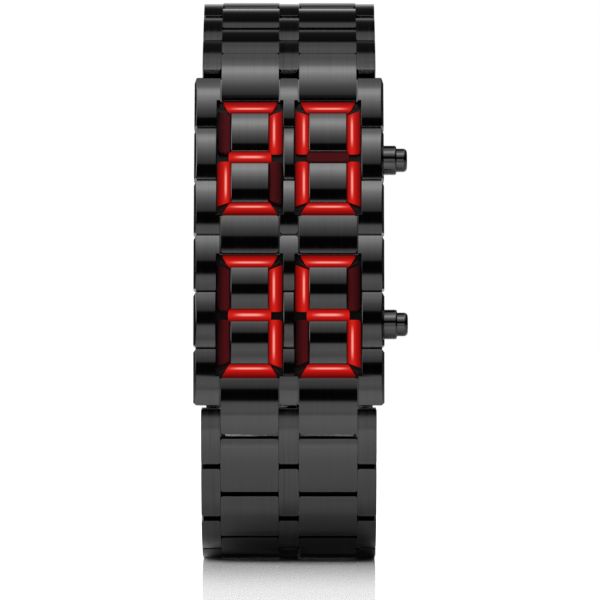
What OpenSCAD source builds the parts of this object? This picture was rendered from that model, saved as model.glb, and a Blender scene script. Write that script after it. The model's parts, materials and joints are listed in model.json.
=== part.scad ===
// A digital bracelet watch with four raised seven-segment figures, standing on its closed band.
// X runs across the band, Y from the front to the back and Z up. The origin is on the ground,
// under the middle of the link that lies flat there.

/* [Band] */
// Width of the band over all five columns of plates
band_w = 22; // [20:0.5:24]
// Length of one plate along the band, with its gap
link_pitch = 7.2; // [7:0.1:7.6]
// Thickness of a plate
link_t = 3.2; // [3:0.1:3.4]
// Radius of a plate's crowned outer face, along the band
crown_r = 11; // [9:0.5:16]
// Width of each of the three narrow columns
narrow_w = 2.3; // [2:0.1:2.8]
// Gap between neighbouring plates
joint_gap = 0.25; // [0.2:0.01:0.3]
// Diameter of the link pins
pin_d = 1; // [0.8:0.05:1.2]
// How far a link pin's ends lie under the sides of the band
pin_recess = 0.15; // [0.05:0.05:0.4]
// Clearance around a pin that turns
run_clear = 0.05; // [0.03:0.01:0.08]
// Clearance around a piece that is held
hold_clear = 0.02; // [0.01:0.01:0.03]

/* [Case] */
// Width of the case over its scalloped sides
case_w = 24; // [23.6:0.1:25]
// Width of the scalloped column at each side of the case
edge_w = 3.3; // [3.1:0.05:3.5]
// Radius of the line of pins that the curved case follows
curve_r = 95; // [85:1:110]
// Lean of the case from upright, as it stands
case_tilt = 16; // [12:1:20]
// How far the sides of the core lie inside the scallops
scallop_depth = 0.3; // [0.2:0.05:0.5]
// Depth of the grooves between plates on the front
groove_depth = 0.8; // [0.6:0.05:0.9]
// Corner cut at the ends of each scallop
scallop_cut = 0.35; // [0.2:0.05:0.6]
// Thickness of the front wall under the grooves
skin_t = 0.8; // [0.6:0.05:0.9]
// Thickness of the side walls
side_wall = 1.45; // [1.2:0.05:1.5]
// Thickness of the wall between the hollow and the band
end_wall = 2.6; // [2.4:0.1:2.8]
// Slope cut under each end of the case, along it and in depth
end_slope = [1.6, 2.8]; // [1:0.1:3]

/* [Figures] */
// Length of the plate between the upper and the lower figures
middle_plate_l = 4.9; // [4:0.1:5.2]
// How much wider a figure's window is than a wide plate
window_extra = 1.4; // [1.2:0.05:1.45]
// Thickness of a figure's upright bars
upright_t = 1.72; // [1.5:0.02:1.9]
// Thickness of a figure's level bars
level_t = 1.55; // [1.45:0.01:1.75]
// Dark rim around the bars of a figure
window_rim = 0.12; // [0.08:0.01:0.2]
// How far a level and an upright bar stay clear of their window's corner
corner_web = [0.65, 1.25]; // [0.5:0.05:1.4]
// How far they end past and under the corner of the raised block
block_web = [0.1, 0.35]; // [0.1:0.05:0.5]
// Height of the dark square between upper and lower uprights
junction_h = 1.2; // [1:0.05:1.5]
// Corner radius at the bars' middle ends
bar_round = 0.45; // [0.3:0.05:0.7]
// How far the webs lie under the plates' crests
web_drop = 1.1; // [0.9:0.05:1.3]
// How far the bars' faces lie under the plates' crests
bar_drop = 0.4; // [0.35:0.05:0.6]
// Radius of the crowned faces of the raised blocks inside the figures
island_crown = 9; // [9:0.5:16]

/* [Module] */
// Thickness of the mask sheet behind the front wall
mask_t = 0.55; // [0.4:0.05:0.7]
// Thickness of the lens sheets behind the mask
lens_t = 0.65; // [0.5:0.05:0.8]
// Depth of the light box at the middle of the case
light_box_t = 2.55; // [2.4:0.05:3]
// Thickness of the circuit board
board_t = 0.6; // [0.5:0.05:1]
// Clearance between the coin cells and the side walls
cell_room = 0.25; // [0.2:0.05:0.5]
// Thickness of one coin cell
cell_t = 1.6; // [1.2:0.1:2]
// Thickness of the frame's wall between the cells and the case's upper end
frame_end = 1.1; // [0.9:0.05:1.4]
// Thickness of the frame's web between cells and board
frame_web = 0.35; // [0.3:0.05:0.6]
// Gap between pieces that lie on each other inside the case
seat_gap = 0.05; // [0.03:0.01:0.06]

/* [Back] */
// Thickness of the back cover
back_t = 0.8; // [0.6:0.05:1.2]
// How far the back cover reaches past the hollow at its sides
back_lap = 0.7; // [0.6:0.05:0.9]
// Corner radius of the back cover
back_corner = 2.4; // [2:0.1:3]
// Diameter of the cover screws' heads
screw_head_d = 2; // [1.8:0.1:2.2]
// Diameter of the cover screws' threads
screw_d = 1.2; // [1:0.05:1.3]
// Length of the cover screws
screw_l = 2.6; // [2:0.1:3]
// Side of the gasket's section
gasket_t = 0.4; // [0.3:0.05:0.45]

/* [Pushers] */
// Number of scallops from the middle of the case to each pusher
pusher_scallop = 1.5; // [1.5:1:2.5]
// Depth of the pushers' axis under the line of pins
pusher_depth = 2.2; // [2.1:0.05:2.4]
// Diameter of the fixed collar
collar_d = 3.75; // [3.6:0.05:4]
// How far the collar stands out of the side
collar_l = 1.6; // [1.4:0.05:1.8]
// Diameter of the pusher's cap
cap_d = 3; // [2.8:0.05:3.1]
// How far the cap stands out of its collar
cap_l = 1.35; // [1:0.05:1.6]
// Diameter of the pusher's stem
stem_d = 1.5; // [1.4:0.05:1.6]
// Travel of a pusher
pusher_travel = 0.5; // [0.4:0.05:0.55]
// Wire diameter of the pusher springs
pusher_wire = 0.16; // [0.14:0.01:0.18]

/* [Clasp] */
// Thickness of the clasp cover
cover_t = 0.9; // [0.8:0.05:1.1]
// Thickness of the folding blades
blade_t = 0.9; // [0.8:0.05:0.95]
// Gap between the inner blade's sides and the band's outer plates
blade_gap = 0.25; // [0.2:0.01:0.4]
// How far the outer blade's sides lie inside those of the inner blade
blade_step = 0.95; // [0.85:0.05:1.2]
// Distance from the upper end of the clasp to the blades' fold
fold_back = 8; // [7.8:0.1:9]
// Distance from the lower end of the clasp to the cover's hinge
cover_hinge = 4.4; // [4.2:0.1:5]
// Diameter of the rivets that the blades fold on
rivet_d = 0.8; // [0.7:0.05:0.9]
// Diameter of the spring bars
bar_d = 1.4; // [1.3:0.05:1.5]
// Diameter of the spring bars' tips
bar_tip_d = 0.8; // [0.7:0.05:0.9]
// Length of the release buttons along the clasp
button_l = 3.6; // [3:0.1:3.8]
// Height of the release buttons
button_h = 1.4; // [1.2:0.05:1.5]
// Travel of a release button
button_travel = 0.5; // [0.4:0.05:0.6]
// How far a pressed button still stands out of the clasp's side
button_proud = 0.1; // [0.05:0.05:0.3]

/* [Hidden] */
far = 60; // longer than any cut
cut = 1; // how far a cut starts outside what it cuts
fuse = 0.1; // how far the shapes of one solid run into each other
round_fn = 48;
curve_fn = 360;
cell_fn = 96;

// The band stands closed. Each angle is a link's lean from upright, turned back over the top.
upper_angles = [56, 61, 63, 67, 76, 88, 102, 116, 130, 143, 155, 165, 173, 180];
lower_angles = [-8, -18, -31, -43, -59, -71, -82, -88, -90, -92, -101, -114, -128, -142, -156];
upper_n = len(upper_angles);
lower_n = len(lower_angles);
ground_link = 9; // the lower link that lies flat on the ground

function two(i) = i < 10 ? str("0", i) : str(i);
function upper_name(i) = str("upper_link_", two(i));
function lower_name(i) = str("lower_link_", two(i));

CASE_NODES = [
    "case_body", "segment_mask", "hours_lens", "minutes_lens", "light_box", "led_chips",
    "circuit_board", "board_components", "contact_springs", "module_frame", "coin_cells",
    "back_gasket", "case_back", "case_back_screws", "pusher_tubes"
];
PUSHER_NODES = [
    "upper_pusher", "lower_pusher", "upper_pusher_seal", "lower_pusher_seal",
    "upper_pusher_spring", "lower_pusher_spring"
];
CLASP_NODES = [
    "inner_blade", "outer_blade", "clasp_cover", "clasp_rivets", "lower_spring_bar",
    "upper_spring_bar", "left_button", "right_button", "button_spring"
];
UPPER_NODES = [for (i = [1 : upper_n]) upper_name(i)];
LOWER_NODES = [for (i = [1 : lower_n]) lower_name(i)];

black_steel = [0.09, 0.09, 0.10];
dark_plastic = [0.05, 0.05, 0.06];
bright_steel = [0.72, 0.73, 0.75];
red_lens = [0.80, 0.05, 0.04];
white_plastic = [0.90, 0.90, 0.88];
board_green = [0.05, 0.30, 0.14];
gold_spring = [0.80, 0.62, 0.25];
seal_rubber = [0.03, 0.03, 0.03];

// Plates of the band
link_l = link_pitch - joint_gap;
pin_step = link_pitch / 2;
end_r = (link_l - pin_step) / 2;
wide_w = (band_w - 3 * narrow_w - 4 * joint_gap) / 2;
wide_x = narrow_w / 2 + joint_gap;
edge_x = wide_x + wide_w + joint_gap;
narrow_starts = [-band_w / 2, -narrow_w / 2, edge_x];
wide_starts = [-wide_x - wide_w, wide_x];

// Case
crest_r = curve_r + link_t / 2;
core_r = crest_r - groove_depth;
skin_r = core_r - skin_t;
scallops = 6;
case_half = scallops / 2 * link_pitch;
end_pin_angle = arc_angle(case_half + link_pitch / 4);
end_face_angle = arc_angle(case_half - joint_gap / 2);
case_wide_w = (case_w - 2 * edge_w - narrow_w - 4 * joint_gap) / 2;
case_wide_mid = wide_x + case_wide_w / 2;
case_wide_starts = [-wide_x - case_wide_w, wide_x];
scallop_x = case_w / 2 - edge_w;
core_w = case_w - 2 * scallop_depth;
hollow_half_w = core_w / 2 - side_wall;
hollow_half_l = case_half - end_wall - joint_gap;
boss_wall = 0.5;
boss_sunk = [0.25, 0.1]; // how far the bosses run into the side and the end walls
boss_r = screw_head_d / 2 + boss_wall;
screw_x = hollow_half_w - boss_r + boss_sunk[0];
screw_y = hollow_half_l - boss_r + boss_sunk[1];

// Figures
window_w = case_wide_w + window_extra;
window_start = middle_plate_l / 2 + joint_gap / 2;
window_end = curve_r * sin(arc_angle(case_half - link_l / 2)) + joint_gap / 2;
window_l = window_end - window_start;
window_mid = (window_start + window_end) / 2;
bars_w = window_w - 2 * window_rim;
bars_l = window_l - 2 * window_rim;
island_w = bars_w - 2 * upright_t;
island_l = (bars_l - 3 * level_t) / 2;
island_y = (island_l + level_t) / 2;
web_r = crest_r - web_drop;
bar_face_r = crest_r - bar_drop;
windows = [for (x = [-1, 1], y = [1, -1]) [x * case_wide_mid, y * window_mid]];
bar_reach = 0.3; // how far a middle bar reaches past the islands' sides
bar_grow = 0.03; // how much wider the mask's slots are than the bars
well_shrink = -0.2; // how much narrower the light box's wells are

// Stack of the module, as depths under the middle of the line of pins
mask_r = skin_r - seat_gap;
lens_r = mask_r - mask_t - seat_gap;
box_r = lens_r - lens_t - seat_gap;
box_bottom = box_r - curve_r - light_box_t;
board_top = box_bottom - seat_gap;
board_bottom = board_top - board_t;
frame_top = board_bottom - seat_gap;
cell_top = frame_top - frame_web - seat_gap;
cell_bottom = cell_top - 2 * cell_t;
back_seat = cell_bottom - 2 * seat_gap;
back_face = back_seat - back_t;
sheet_room = [0.3, 0.15]; // between the sheets and the walls round them
sheet_half_w = hollow_half_w - sheet_room[0];
sheet_half_l = hollow_half_l - sheet_room[1];
board_corner = 1;
box_half_w = case_wide_mid + window_w / 2 + seat_gap;
cell_gap = 0.01;
cell_d = 2 * (hollow_half_w - cell_room);
cell_y = sheet_half_l - frame_end - cell_d / 2;
frame_room = 0.45; // between the frame and the side walls
frame_half_w = hollow_half_w - frame_room;
frame_corner = 0.5;
pocket_wall = 1;
pocket_end = 2.7; // the frame's wall between the pocket and the case's lower end
pocket_top = cell_y - cell_d / 2 - pocket_wall;
parts_pocket = [13.6, pocket_top + sheet_half_l - pocket_end];
parts_pocket_y = pocket_top - parts_pocket[1] / 2;
chip_size = [6, 6, 1.2];
crystal_r = 1;
crystal_l = 7;
parts_gap = (parts_pocket[1] - chip_size[1] - 2 * crystal_r) / 3; // before, between and after the two
chip_y = parts_gap - parts_pocket[1] / 2;
crystal_y = parts_pocket[1] / 2 - parts_gap - crystal_r;
capacitor_size = [1.2, 2, 0.8];
capacitor_x = 5;
capacitor_y = [-2, 1];
contact_w = 5;
contact_t = 0.2;
contact_room = 0.2; // beside the cells' contact in its slot
contact_slot_in = 0.5; // how far that slot runs in over the cells
leaf_w = 2.4;
leaf_t = 0.12;
led_size = [1.6, 0.8, 0.5];

// Pushers
pusher_y = pusher_scallop * link_pitch;
side_x = core_w / 2;
collar_end = case_w / 2 + collar_l;
cap_end = collar_end + cap_l;
collar_floor_t = 0.5;
cup_floor = side_x + collar_floor_t;
cup_r = cap_d / 2 + run_clear;
pressed_spring = 0.3; // room for the spring under a pressed cap
cap_start = cup_floor + pusher_travel + pressed_spring;
spring_under = 0.3; // how far the spring's coils lie inside the cap's edge
neck_r = 1.2;
neck_start = hollow_half_w;
stem_end = box_half_w + leaf_t + 3 * seat_gap + pusher_travel;
clip_t = 0.15;
clip_x = neck_start - seat_gap - clip_t;
clip_r = 1.15;
clip_room = 0.3; // between the clips and the sheets cut out for them
seal_r = 0.16;
seal_gap = 0.01;
seal_in = 0.75; // from the neck's inner end to the seal's room
seal_x = neck_start + seal_in;
seal_room = [pusher_travel + 2 * seal_r + 2 * seat_gap, 2 * seal_r + 2 * seal_gap];

// Where the closed loop runs
function arc_angle(s) = s / curve_r * 180 / PI;
function along(a) = [0, sin(a), cos(a)];
function outward(a) = [0, -cos(a), sin(a)];
function steps(angles, n) = n == 0 ? [0, 0, 0] : steps(angles, n - 1) + pin_step * along(angles[n - 1]);
function case_point(y, z) = y * along(case_tilt) + z * outward(case_tilt);
end_pin_y = curve_r * sin(end_pin_angle);
end_pin_z = curve_r * cos(end_pin_angle) - curve_r;
upper_start = case_point(end_pin_y, end_pin_z);
lower_start = case_point(-end_pin_y, end_pin_z);
upper_end = upper_start + steps(upper_angles, upper_n);
lower_end = lower_start - steps(lower_angles, lower_n);
ground_middle = lower_start - steps(lower_angles, ground_link - 1)
    - pin_step / 2 * along(lower_angles[ground_link - 1]);
shift = [0, -ground_middle[1], link_t / 2 - ground_middle[2]];

// Clasp, from the lower end of the band to the upper end
clasp_run = lower_end - upper_end;
clasp_l = norm(clasp_run);
clasp_angle = atan2(clasp_run[1], clasp_run[2]);
fold_y = clasp_l - fold_back;
cover_z = 1.5;
wall_bottom = -0.6;
wall_w = 1.1;
cover_start = 0.8;
cover_room = 0.1; // between the cover and the last upper link, past a plate's gap
wall_room = 0.2; // the same at the last lower link
cover_stop = clasp_l - end_r - joint_gap - cover_room;
wall_start = end_r + joint_gap + wall_room;
ear_r = 1.6;
ear_w = band_w / 2 - edge_x;
inner_blade_w = 2 * (edge_x - blade_gap);
outer_blade_w = inner_blade_w - 2 * blade_step;
inner_z = -1.5;
outer_z = 0.3;
fold_z = -0.15;
fold_r = 1.25;
fold_knuckle = 6.6;
fold_room = 0.15;
cover_hinge_z = 0.6;
cover_knuckle_r = 0.8;
lug_gap = 0.2;
cover_lug_x = outer_blade_w / 2 + lug_gap;
cover_lug_w = 1.2;
cover_lug_r = 0.85;
tube_r = 1.5;
button_back = 4.7; // from the upper end of the clasp to the buttons
button_y = clasp_l - button_back;
button_z = 0.4;
button_room = 0.06;
button_foot = [6.6, 2.6, 1.4];
button_gap = 0.25; // between a button's foot and the side wall
button_foot_x = band_w / 2 - wall_w - button_gap - button_foot[0];
button_end = band_w / 2 + button_travel + button_proud;
spring_wire = 0.16;
button_spring_r = 0.5;
button_turns = 8;
pusher_turns = 2;

// Draws its 2D child, whose own axes are the band's length and height, from x0 to x1.
module across(x0, x1) {
    translate([x0, 0, 0])
        rotate([90, 0, 90])
            linear_extrude(x1 - x0)
                children();
}

// A rod along X from x0 to x1.
module rod(r, x0, x1) {
    translate([x0, 0, 0])
        rotate([0, 90, 0])
            cylinder(r = r, h = x1 - x0, $fn = round_fn);
}

module at_case() {
    translate(shift)
        rotate([90 - case_tilt, 0, 0])
            children();
}

module at_upper(i) {
    a = upper_angles[i - 1];
    translate(shift + upper_start + steps(upper_angles, i - 1) + pin_step / 2 * along(a))
        rotate([90 - a, 0, 0])
            children();
}

module at_lower(i) {
    a = lower_angles[i - 1];
    translate(shift + lower_start - steps(lower_angles, i - 1) - pin_step / 2 * along(a))
        rotate([90 - a, 0, 0])
            children();
}

module at_clasp() {
    translate(shift + lower_end)
        rotate([90 - clasp_angle, 0, 0])
            rotate([0, 0, 180])
                children();
}

// Moves its child from the middle of the case to a place s along its curve.
module on_arc(s) {
    translate([0, 0, -curve_r])
        rotate([-arc_angle(s), 0, 0])
            translate([0, 0, curve_r])
                children();
}

module curve_disc(r) {
    translate([0, -curve_r])
        circle(r, $fn = curve_fn);
}

// Side view of a plate l long: crowned outside, and rounded about its pins inside.
module plate_outline(l = link_l) {
    middle = l - 2 * end_r;
    intersection() {
        translate([0, link_t / 2 - crown_r])
            circle(crown_r, $fn = curve_fn);
        translate([-l / 2, -link_t / 2])
            square([l, link_t]);
        union() {
            translate([-l / 2, 0])
                square([l, link_t]);
            translate([-middle / 2, -link_t])
                square([middle, 2 * link_t]);
            for (side = [-1, 1])
                translate([side * middle / 2, 0])
                    circle(end_r, $fn = round_fn);
        }
    }
}

// The same with a bore of each given radius, towards 6 o'clock first.
module bored_outline(low_r, high_r) {
    difference() {
        plate_outline();
        translate([-pin_step / 2, 0])
            circle(low_r, $fn = round_fn);
        translate([pin_step / 2, 0])
            circle(high_r, $fn = round_fn);
    }
}

module narrow_plates(low_r, high_r) {
    for (x = narrow_starts)
        across(x, x + narrow_w)
            bored_outline(low_r, high_r);
}

module wide_plates(low_r, high_r) {
    for (x = wide_starts)
        across(x, x + wide_w)
            bored_outline(low_r, high_r);
}

module link_pin(y) {
    translate([0, y, 0])
        rod(pin_d / 2, pin_recess - band_w / 2, band_w / 2 - pin_recess);
}

held_r = pin_d / 2 + hold_clear;
turning_r = pin_d / 2 + run_clear;
bar_held_r = bar_d / 2 + hold_clear;
bar_turning_r = bar_d / 2 + run_clear;

// Three narrow plates on their two pins.
module narrow_link() {
    narrow_plates(held_r, held_r);
    for (side = [-1, 1])
        link_pin(side * pin_step / 2);
}

// Two wide plates, which turn on the neighbours' pins.
module wide_link() {
    wide_plates(turning_r, turning_r);
}

// The last upper link carries the upper spring bar at its 6 o'clock end as it stands closed.
module upper_link(i) {
    color(black_steel)
        at_upper(i)
            if (i == upper_n)
                wide_plates(turning_r, bar_held_r);
            else if (i % 2 == 1)
                narrow_link();
            else
                wide_link();
}

module lower_last_link() {
    tip_r = bar_tip_d / 2 + hold_clear;
    for (x = narrow_starts)
        across(x, x + narrow_w)
            bored_outline(x == -narrow_w / 2 ? bar_held_r : tip_r, held_r);
    link_pin(pin_step / 2);
}

module lower_link(i) {
    color(black_steel)
        at_lower(i)
            if (i == lower_n)
                lower_last_link();
            else if (i % 2 == 1)
                narrow_link();
            else
                wide_link();
}

// Side view of the case's core, between the end faces and over the flat back seat.
module core_outline() {
    reach = curve_r / 2;
    back_half = (curve_r + back_seat) * tan(end_face_angle);
    difference() {
        intersection() {
            curve_disc(core_r);
            translate([0, -curve_r])
                polygon([
                    [0, 0],
                    [-(curve_r + reach) * tan(end_face_angle), curve_r + reach],
                    [(curve_r + reach) * tan(end_face_angle), curve_r + reach]
                ]);
            translate([-far / 2, back_seat])
                square([far, far]);
        }
        for (side = [-1, 1])
            polygon([
                [side * (back_half - end_slope[0]), back_seat],
                [side * far, back_seat - cut],
                [side * far, back_seat + end_slope[1]],
                [side * (back_half + end_slope[1] * tan(end_face_angle)), back_seat + end_slope[1]]
            ]);
    }
}

// One scalloped plate at the edge of the case, with its corners cut.
module edge_scallop() {
    inner = scallop_x;
    outer = case_w / 2;
    intersection() {
        across(inner, outer)
            plate_outline();
        translate([0, 0, -link_t])
            linear_extrude(2 * link_t)
                polygon([
                    [inner, -link_l / 2],
                    [outer - scallop_cut, -link_l / 2],
                    [outer, scallop_cut - link_l / 2],
                    [outer, link_l / 2 - scallop_cut],
                    [outer - scallop_cut, link_l / 2],
                    [inner, link_l / 2]
                ]);
    }
}

module scallop_row(side) {
    for (i = [0 : scallops - 1])
        on_arc((i + 0.5) * link_pitch - case_half)
            mirror([side < 0 ? 1 : 0, 0, 0])
                edge_scallop();
}

module centre_row() {
    for (i = [0 : scallops - 1])
        on_arc((i + 0.5) * link_pitch - case_half)
            across(-narrow_w / 2, narrow_w / 2)
                plate_outline();
}

// The wide plates in the middle and at both ends of the case, whose ends take the first pins.
module case_plates() {
    for (x = case_wide_starts)
        across(x, x + case_wide_w)
            plate_outline(middle_plate_l);
    for (x = wide_starts, end = [-1, 1])
        on_arc(end * case_half)
            across(x, x + wide_w)
                plate_outline();
}

module first_pin_bores() {
    for (end = [-1, 1])
        on_arc(end * (case_half + link_pitch / 4))
            rod(turning_r, -band_w / 2, band_w / 2);
}

module window_cuts() {
    for (at = windows)
        translate([at[0] - window_w / 2, at[1] - window_l / 2, skin_r - curve_r - link_t])
            cube([window_w, window_l, far]);
}

module rounded_plate(half_w, half_l, corner, z0, z1) {
    translate([0, 0, z0])
        linear_extrude(z1 - z0)
            rounded_outline(half_w, half_l, corner);
}

module rounded_outline(half_w, half_l, corner) {
    square([2 * (half_w - corner), 2 * half_l], center = true);
    square([2 * half_w, 2 * (half_l - corner)], center = true);
    for (x = [-1, 1], y = [-1, 1])
        translate([x * (half_w - corner), y * (half_l - corner)])
            circle(corner, $fn = round_fn);
}

module at_screws() {
    for (x = [-1, 1], y = [-1, 1])
        translate([x * screw_x, y * screw_y, 0])
            children();
}

// The hollow that takes the module, with a boss in each corner for the cover screws.
module hollow() {
    difference() {
        across(-hollow_half_w, hollow_half_w)
            intersection() {
                curve_disc(skin_r);
                translate([-hollow_half_l, back_seat - cut])
                    square([2 * hollow_half_l, far]);
            }
        at_screws()
            translate([0, 0, back_seat - cut])
                cylinder(r = boss_r, h = frame_top - back_seat + cut, $fn = round_fn);
    }
}

module gasket_groove(extra) {
    rounded_plate(hollow_half_w + gasket_t + extra, hollow_half_l + gasket_t + extra,
        1.5 * gasket_t, back_seat - extra, back_seat + gasket_t + extra);
}

module at_pushers() {
    for (end = [1, -1])
        translate([0, end * pusher_y, -pusher_depth])
            children();
}

module case_body() {
    color(black_steel)
        at_case()
            difference() {
                union() {
                    across(-core_w / 2, core_w / 2)
                        core_outline();
                    for (side = [-1, 1])
                        scallop_row(side);
                    centre_row();
                    case_plates();
                }
                first_pin_bores();
                window_cuts();
                hollow();
                difference() {
                    gasket_groove(seat_gap);
                    at_screws()
                        translate([0, 0, back_seat - cut])
                            cylinder(r = boss_r, h = 2 * cut, $fn = round_fn);
                }
                at_screws()
                    translate([0, 0, back_seat - cut])
                        cylinder(r = screw_d / 2 + hold_clear, h = cut + screw_l, $fn = round_fn);
                at_pushers() {
                    rod(neck_r + hold_clear, hollow_half_w - cut, side_x + cut);
                    rod(collar_d / 2 + seat_gap, side_x, side_x + cut);
                }
            }
}

// The seven bars of one figure, about its own middle, each grown by e.
module level_end_bar(e) {
    outer_y = bars_l / 2;
    inner_y = outer_y - level_t;
    outer_x = bars_w / 2 - corner_web[0] + 2 * e;
    inner_x = island_w / 2 + block_web[0] + 2 * e;
    polygon([
        [-outer_x, outer_y + e], [outer_x, outer_y + e],
        [inner_x, inner_y - e], [-inner_x, inner_y - e]
    ]);
}

module middle_bar(e) {
    half_l = island_w / 2 + bar_reach + e;
    half_h = level_t / 2 + e;
    rounded_outline(half_l, half_h, bar_round + e);
}

module upright_bar(e) {
    outer_x = bars_w / 2 + e;
    inner_x = bars_w / 2 - upright_t - e;
    outer_y = bars_l / 2 - corner_web[1] + 2 * e;
    inner_y = bars_l / 2 - level_t - block_web[1] + 2 * e;
    bottom_y = junction_h / 2 - e;
    r = bar_round;
    polygon([
        [outer_x, outer_y], [outer_x, bottom_y + r],
        [outer_x - r, bottom_y], [inner_x + r, bottom_y], [inner_x, bottom_y + r],
        [inner_x, inner_y]
    ]);
    for (x = [outer_x - r, inner_x + r])
        translate([x, bottom_y + r])
            circle(r, $fn = round_fn);
}

module figure_bars(e) {
    middle_bar(e);
    for (flip = [0, 1])
        mirror([0, flip]) {
            level_end_bar(e);
            for (side = [0, 1])
                mirror([side, 0])
                    upright_bar(e);
        }
}

module bar_prisms(at, e) {
    translate([at[0], at[1], -far / 2])
        linear_extrude(far)
            figure_bars(e);
}

// A sheet that follows the case's curve between two radii.
module curved_sheet(r0, r1, x0, x1, y0, y1) {
    across(x0, x1)
        difference() {
            intersection() {
                curve_disc(r1);
                translate([y0, -far / 2])
                    square([y1 - y0, far]);
            }
            curve_disc(r0);
        }
}

// Room beside the sheets for the pushers' inner ends.
module pusher_notches() {
    at_pushers()
        translate([box_half_w + seat_gap, -clip_r - clip_room, -far / 2])
            cube([far, 2 * (clip_r + clip_room), far]);
}

// A raised block inside a figure, with a crowned face.
module island(x, y) {
    s = curve_r * asin(y / curve_r) * PI / 180;
    intersection() {
        curved_sheet(mask_r - mask_t, crest_r, x - island_w / 2, x + island_w / 2,
            y - island_l / 2, y + island_l / 2);
        on_arc(s)
            across(-far / 2, far / 2)
                translate([0, link_t / 2 - island_crown])
                    circle(island_crown, $fn = curve_fn);
    }
}

module segment_mask() {
    pad = window_w / 2 - hold_clear;
    color(dark_plastic)
        at_case()
            difference() {
                union() {
                    curved_sheet(mask_r - mask_t, mask_r, -sheet_half_w, sheet_half_w,
                        -sheet_half_l, sheet_half_l);
                    for (at = windows) {
                        low = at[1] - window_l / 2 + hold_clear;
                        curved_sheet(mask_r - mask_t, web_r, at[0] - pad, at[0] + pad,
                            low, low + window_l - 2 * hold_clear);
                        for (side = [-1, 1])
                            island(at[0], at[1] + side * island_y);
                    }
                }
                for (at = windows)
                    bar_prisms(at, bar_grow);
                pusher_notches();
            }
}

// Two red figures in one lens sheet, on one side of the middle of the case.
module lens(side) {
    low = side > 0 ? seat_gap : -sheet_half_l;
    high = side > 0 ? sheet_half_l : -seat_gap;
    color(red_lens)
        at_case()
            difference() {
                union() {
                    curved_sheet(lens_r - lens_t, lens_r, -sheet_half_w, sheet_half_w, low, high);
                    for (x = [-case_wide_mid, case_wide_mid])
                        intersection() {
                            bar_prisms([x, side * window_mid], 0);
                            curved_sheet(lens_r - lens_t, bar_face_r, -far / 2, far / 2,
                                -far / 2, far / 2);
                        }
                }
                pusher_notches();
            }
}

module hours_lens() {
    lens(1);
}

module minutes_lens() {
    lens(-1);
}

module light_box() {
    color(white_plastic)
        at_case()
            difference() {
                across(-box_half_w, box_half_w)
                    intersection() {
                        curve_disc(box_r);
                        translate([-sheet_half_l, box_bottom])
                            square([2 * sheet_half_l, far]);
                    }
                for (at = windows)
                    bar_prisms(at, well_shrink);
            }
}

module led(x, y, turned) {
    size = turned ? [led_size[1], led_size[0], led_size[2]] : led_size;
    translate([x - size[0] / 2, y - size[1] / 2, board_top])
        cube(size);
}

module led_chips() {
    level_y = bars_l / 2 - level_t / 2;
    upright_x = bars_w / 2 - upright_t / 2;
    color(gold_spring)
        at_case()
            for (at = windows) {
                for (row = [-1, 0, 1])
                    led(at[0], at[1] + row * level_y, false);
                for (x = [-1, 1], y = [-1, 1])
                    led(at[0] + x * upright_x, at[1] + y * island_y, true);
            }
}

module circuit_board() {
    color(board_green)
        at_case()
            difference() {
                rounded_plate(sheet_half_w, sheet_half_l, board_corner, board_bottom, board_top);
                pusher_notches();
            }
}

module board_components() {
    color(dark_plastic)
        at_case()
            translate([0, parts_pocket_y, board_bottom]) {
                translate([-chip_size[0] / 2, chip_y, -chip_size[2]])
                    cube(chip_size);
                translate([0, crystal_y, -crystal_r])
                    rod(crystal_r, -crystal_l / 2, crystal_l / 2);
                for (side = [-1, 1], y = capacitor_y)
                    translate([side * capacitor_x, y, -capacitor_size[2] / 2])
                        cube(capacitor_size, center = true);
            }
}

// A leaf for each pusher, standing on the board beside the light box, and the cells' side contact.
module contact_springs() {
    leaf_top = -pusher_depth + stem_d / 2;
    contact_y = cell_y - cell_d / 2 - seat_gap - contact_t;
    color(gold_spring)
        at_case() {
            for (end = [-1, 1])
                translate([box_half_w + seat_gap, end * pusher_y - leaf_w / 2, board_top])
                    cube([leaf_t, leaf_w, leaf_top - board_top]);
            translate([-contact_w / 2, contact_y, cell_bottom + cell_t])
                cube([contact_w, contact_t, board_bottom - cell_bottom - cell_t]);
        }
}

module module_frame() {
    slot = contact_w + 2 * contact_room;
    color(dark_plastic)
        at_case()
            difference() {
                rounded_plate(frame_half_w, sheet_half_l, frame_corner, cell_bottom, frame_top);
                translate([0, cell_y, cell_bottom - cut])
                    cylinder(r = cell_d / 2 + seat_gap, h = cell_top - cell_bottom + cut + seat_gap,
                        $fn = cell_fn);
                translate([-parts_pocket[0] / 2, parts_pocket_y - parts_pocket[1] / 2, cell_bottom - cut])
                    cube([parts_pocket[0], parts_pocket[1], far]);
                translate([-slot / 2, parts_pocket_y, cell_bottom - cut])
                    cube([slot, cell_y - cell_d / 2 + contact_slot_in - parts_pocket_y, far]);
                at_screws()
                    translate([0, 0, cell_bottom - cut])
                        cylinder(r = boss_r + seat_gap, h = far, $fn = round_fn);
            }
}

module coin_cells() {
    color(bright_steel)
        at_case()
            for (i = [0, 1])
                translate([0, cell_y, cell_bottom + i * (cell_t + cell_gap)])
                    cylinder(r = cell_d / 2, h = cell_t - cell_gap, $fn = cell_fn);
}

module back_gasket() {
    color(seal_rubber)
        at_case()
            difference() {
                gasket_groove(0);
                rounded_plate(hollow_half_w + seat_gap, hollow_half_l + seat_gap, gasket_t / 2,
                    back_seat - cut, far);
                at_screws()
                    translate([0, 0, back_seat - cut])
                        cylinder(r = boss_r + seat_gap, h = 2 * cut, $fn = round_fn);
            }
}

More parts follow.
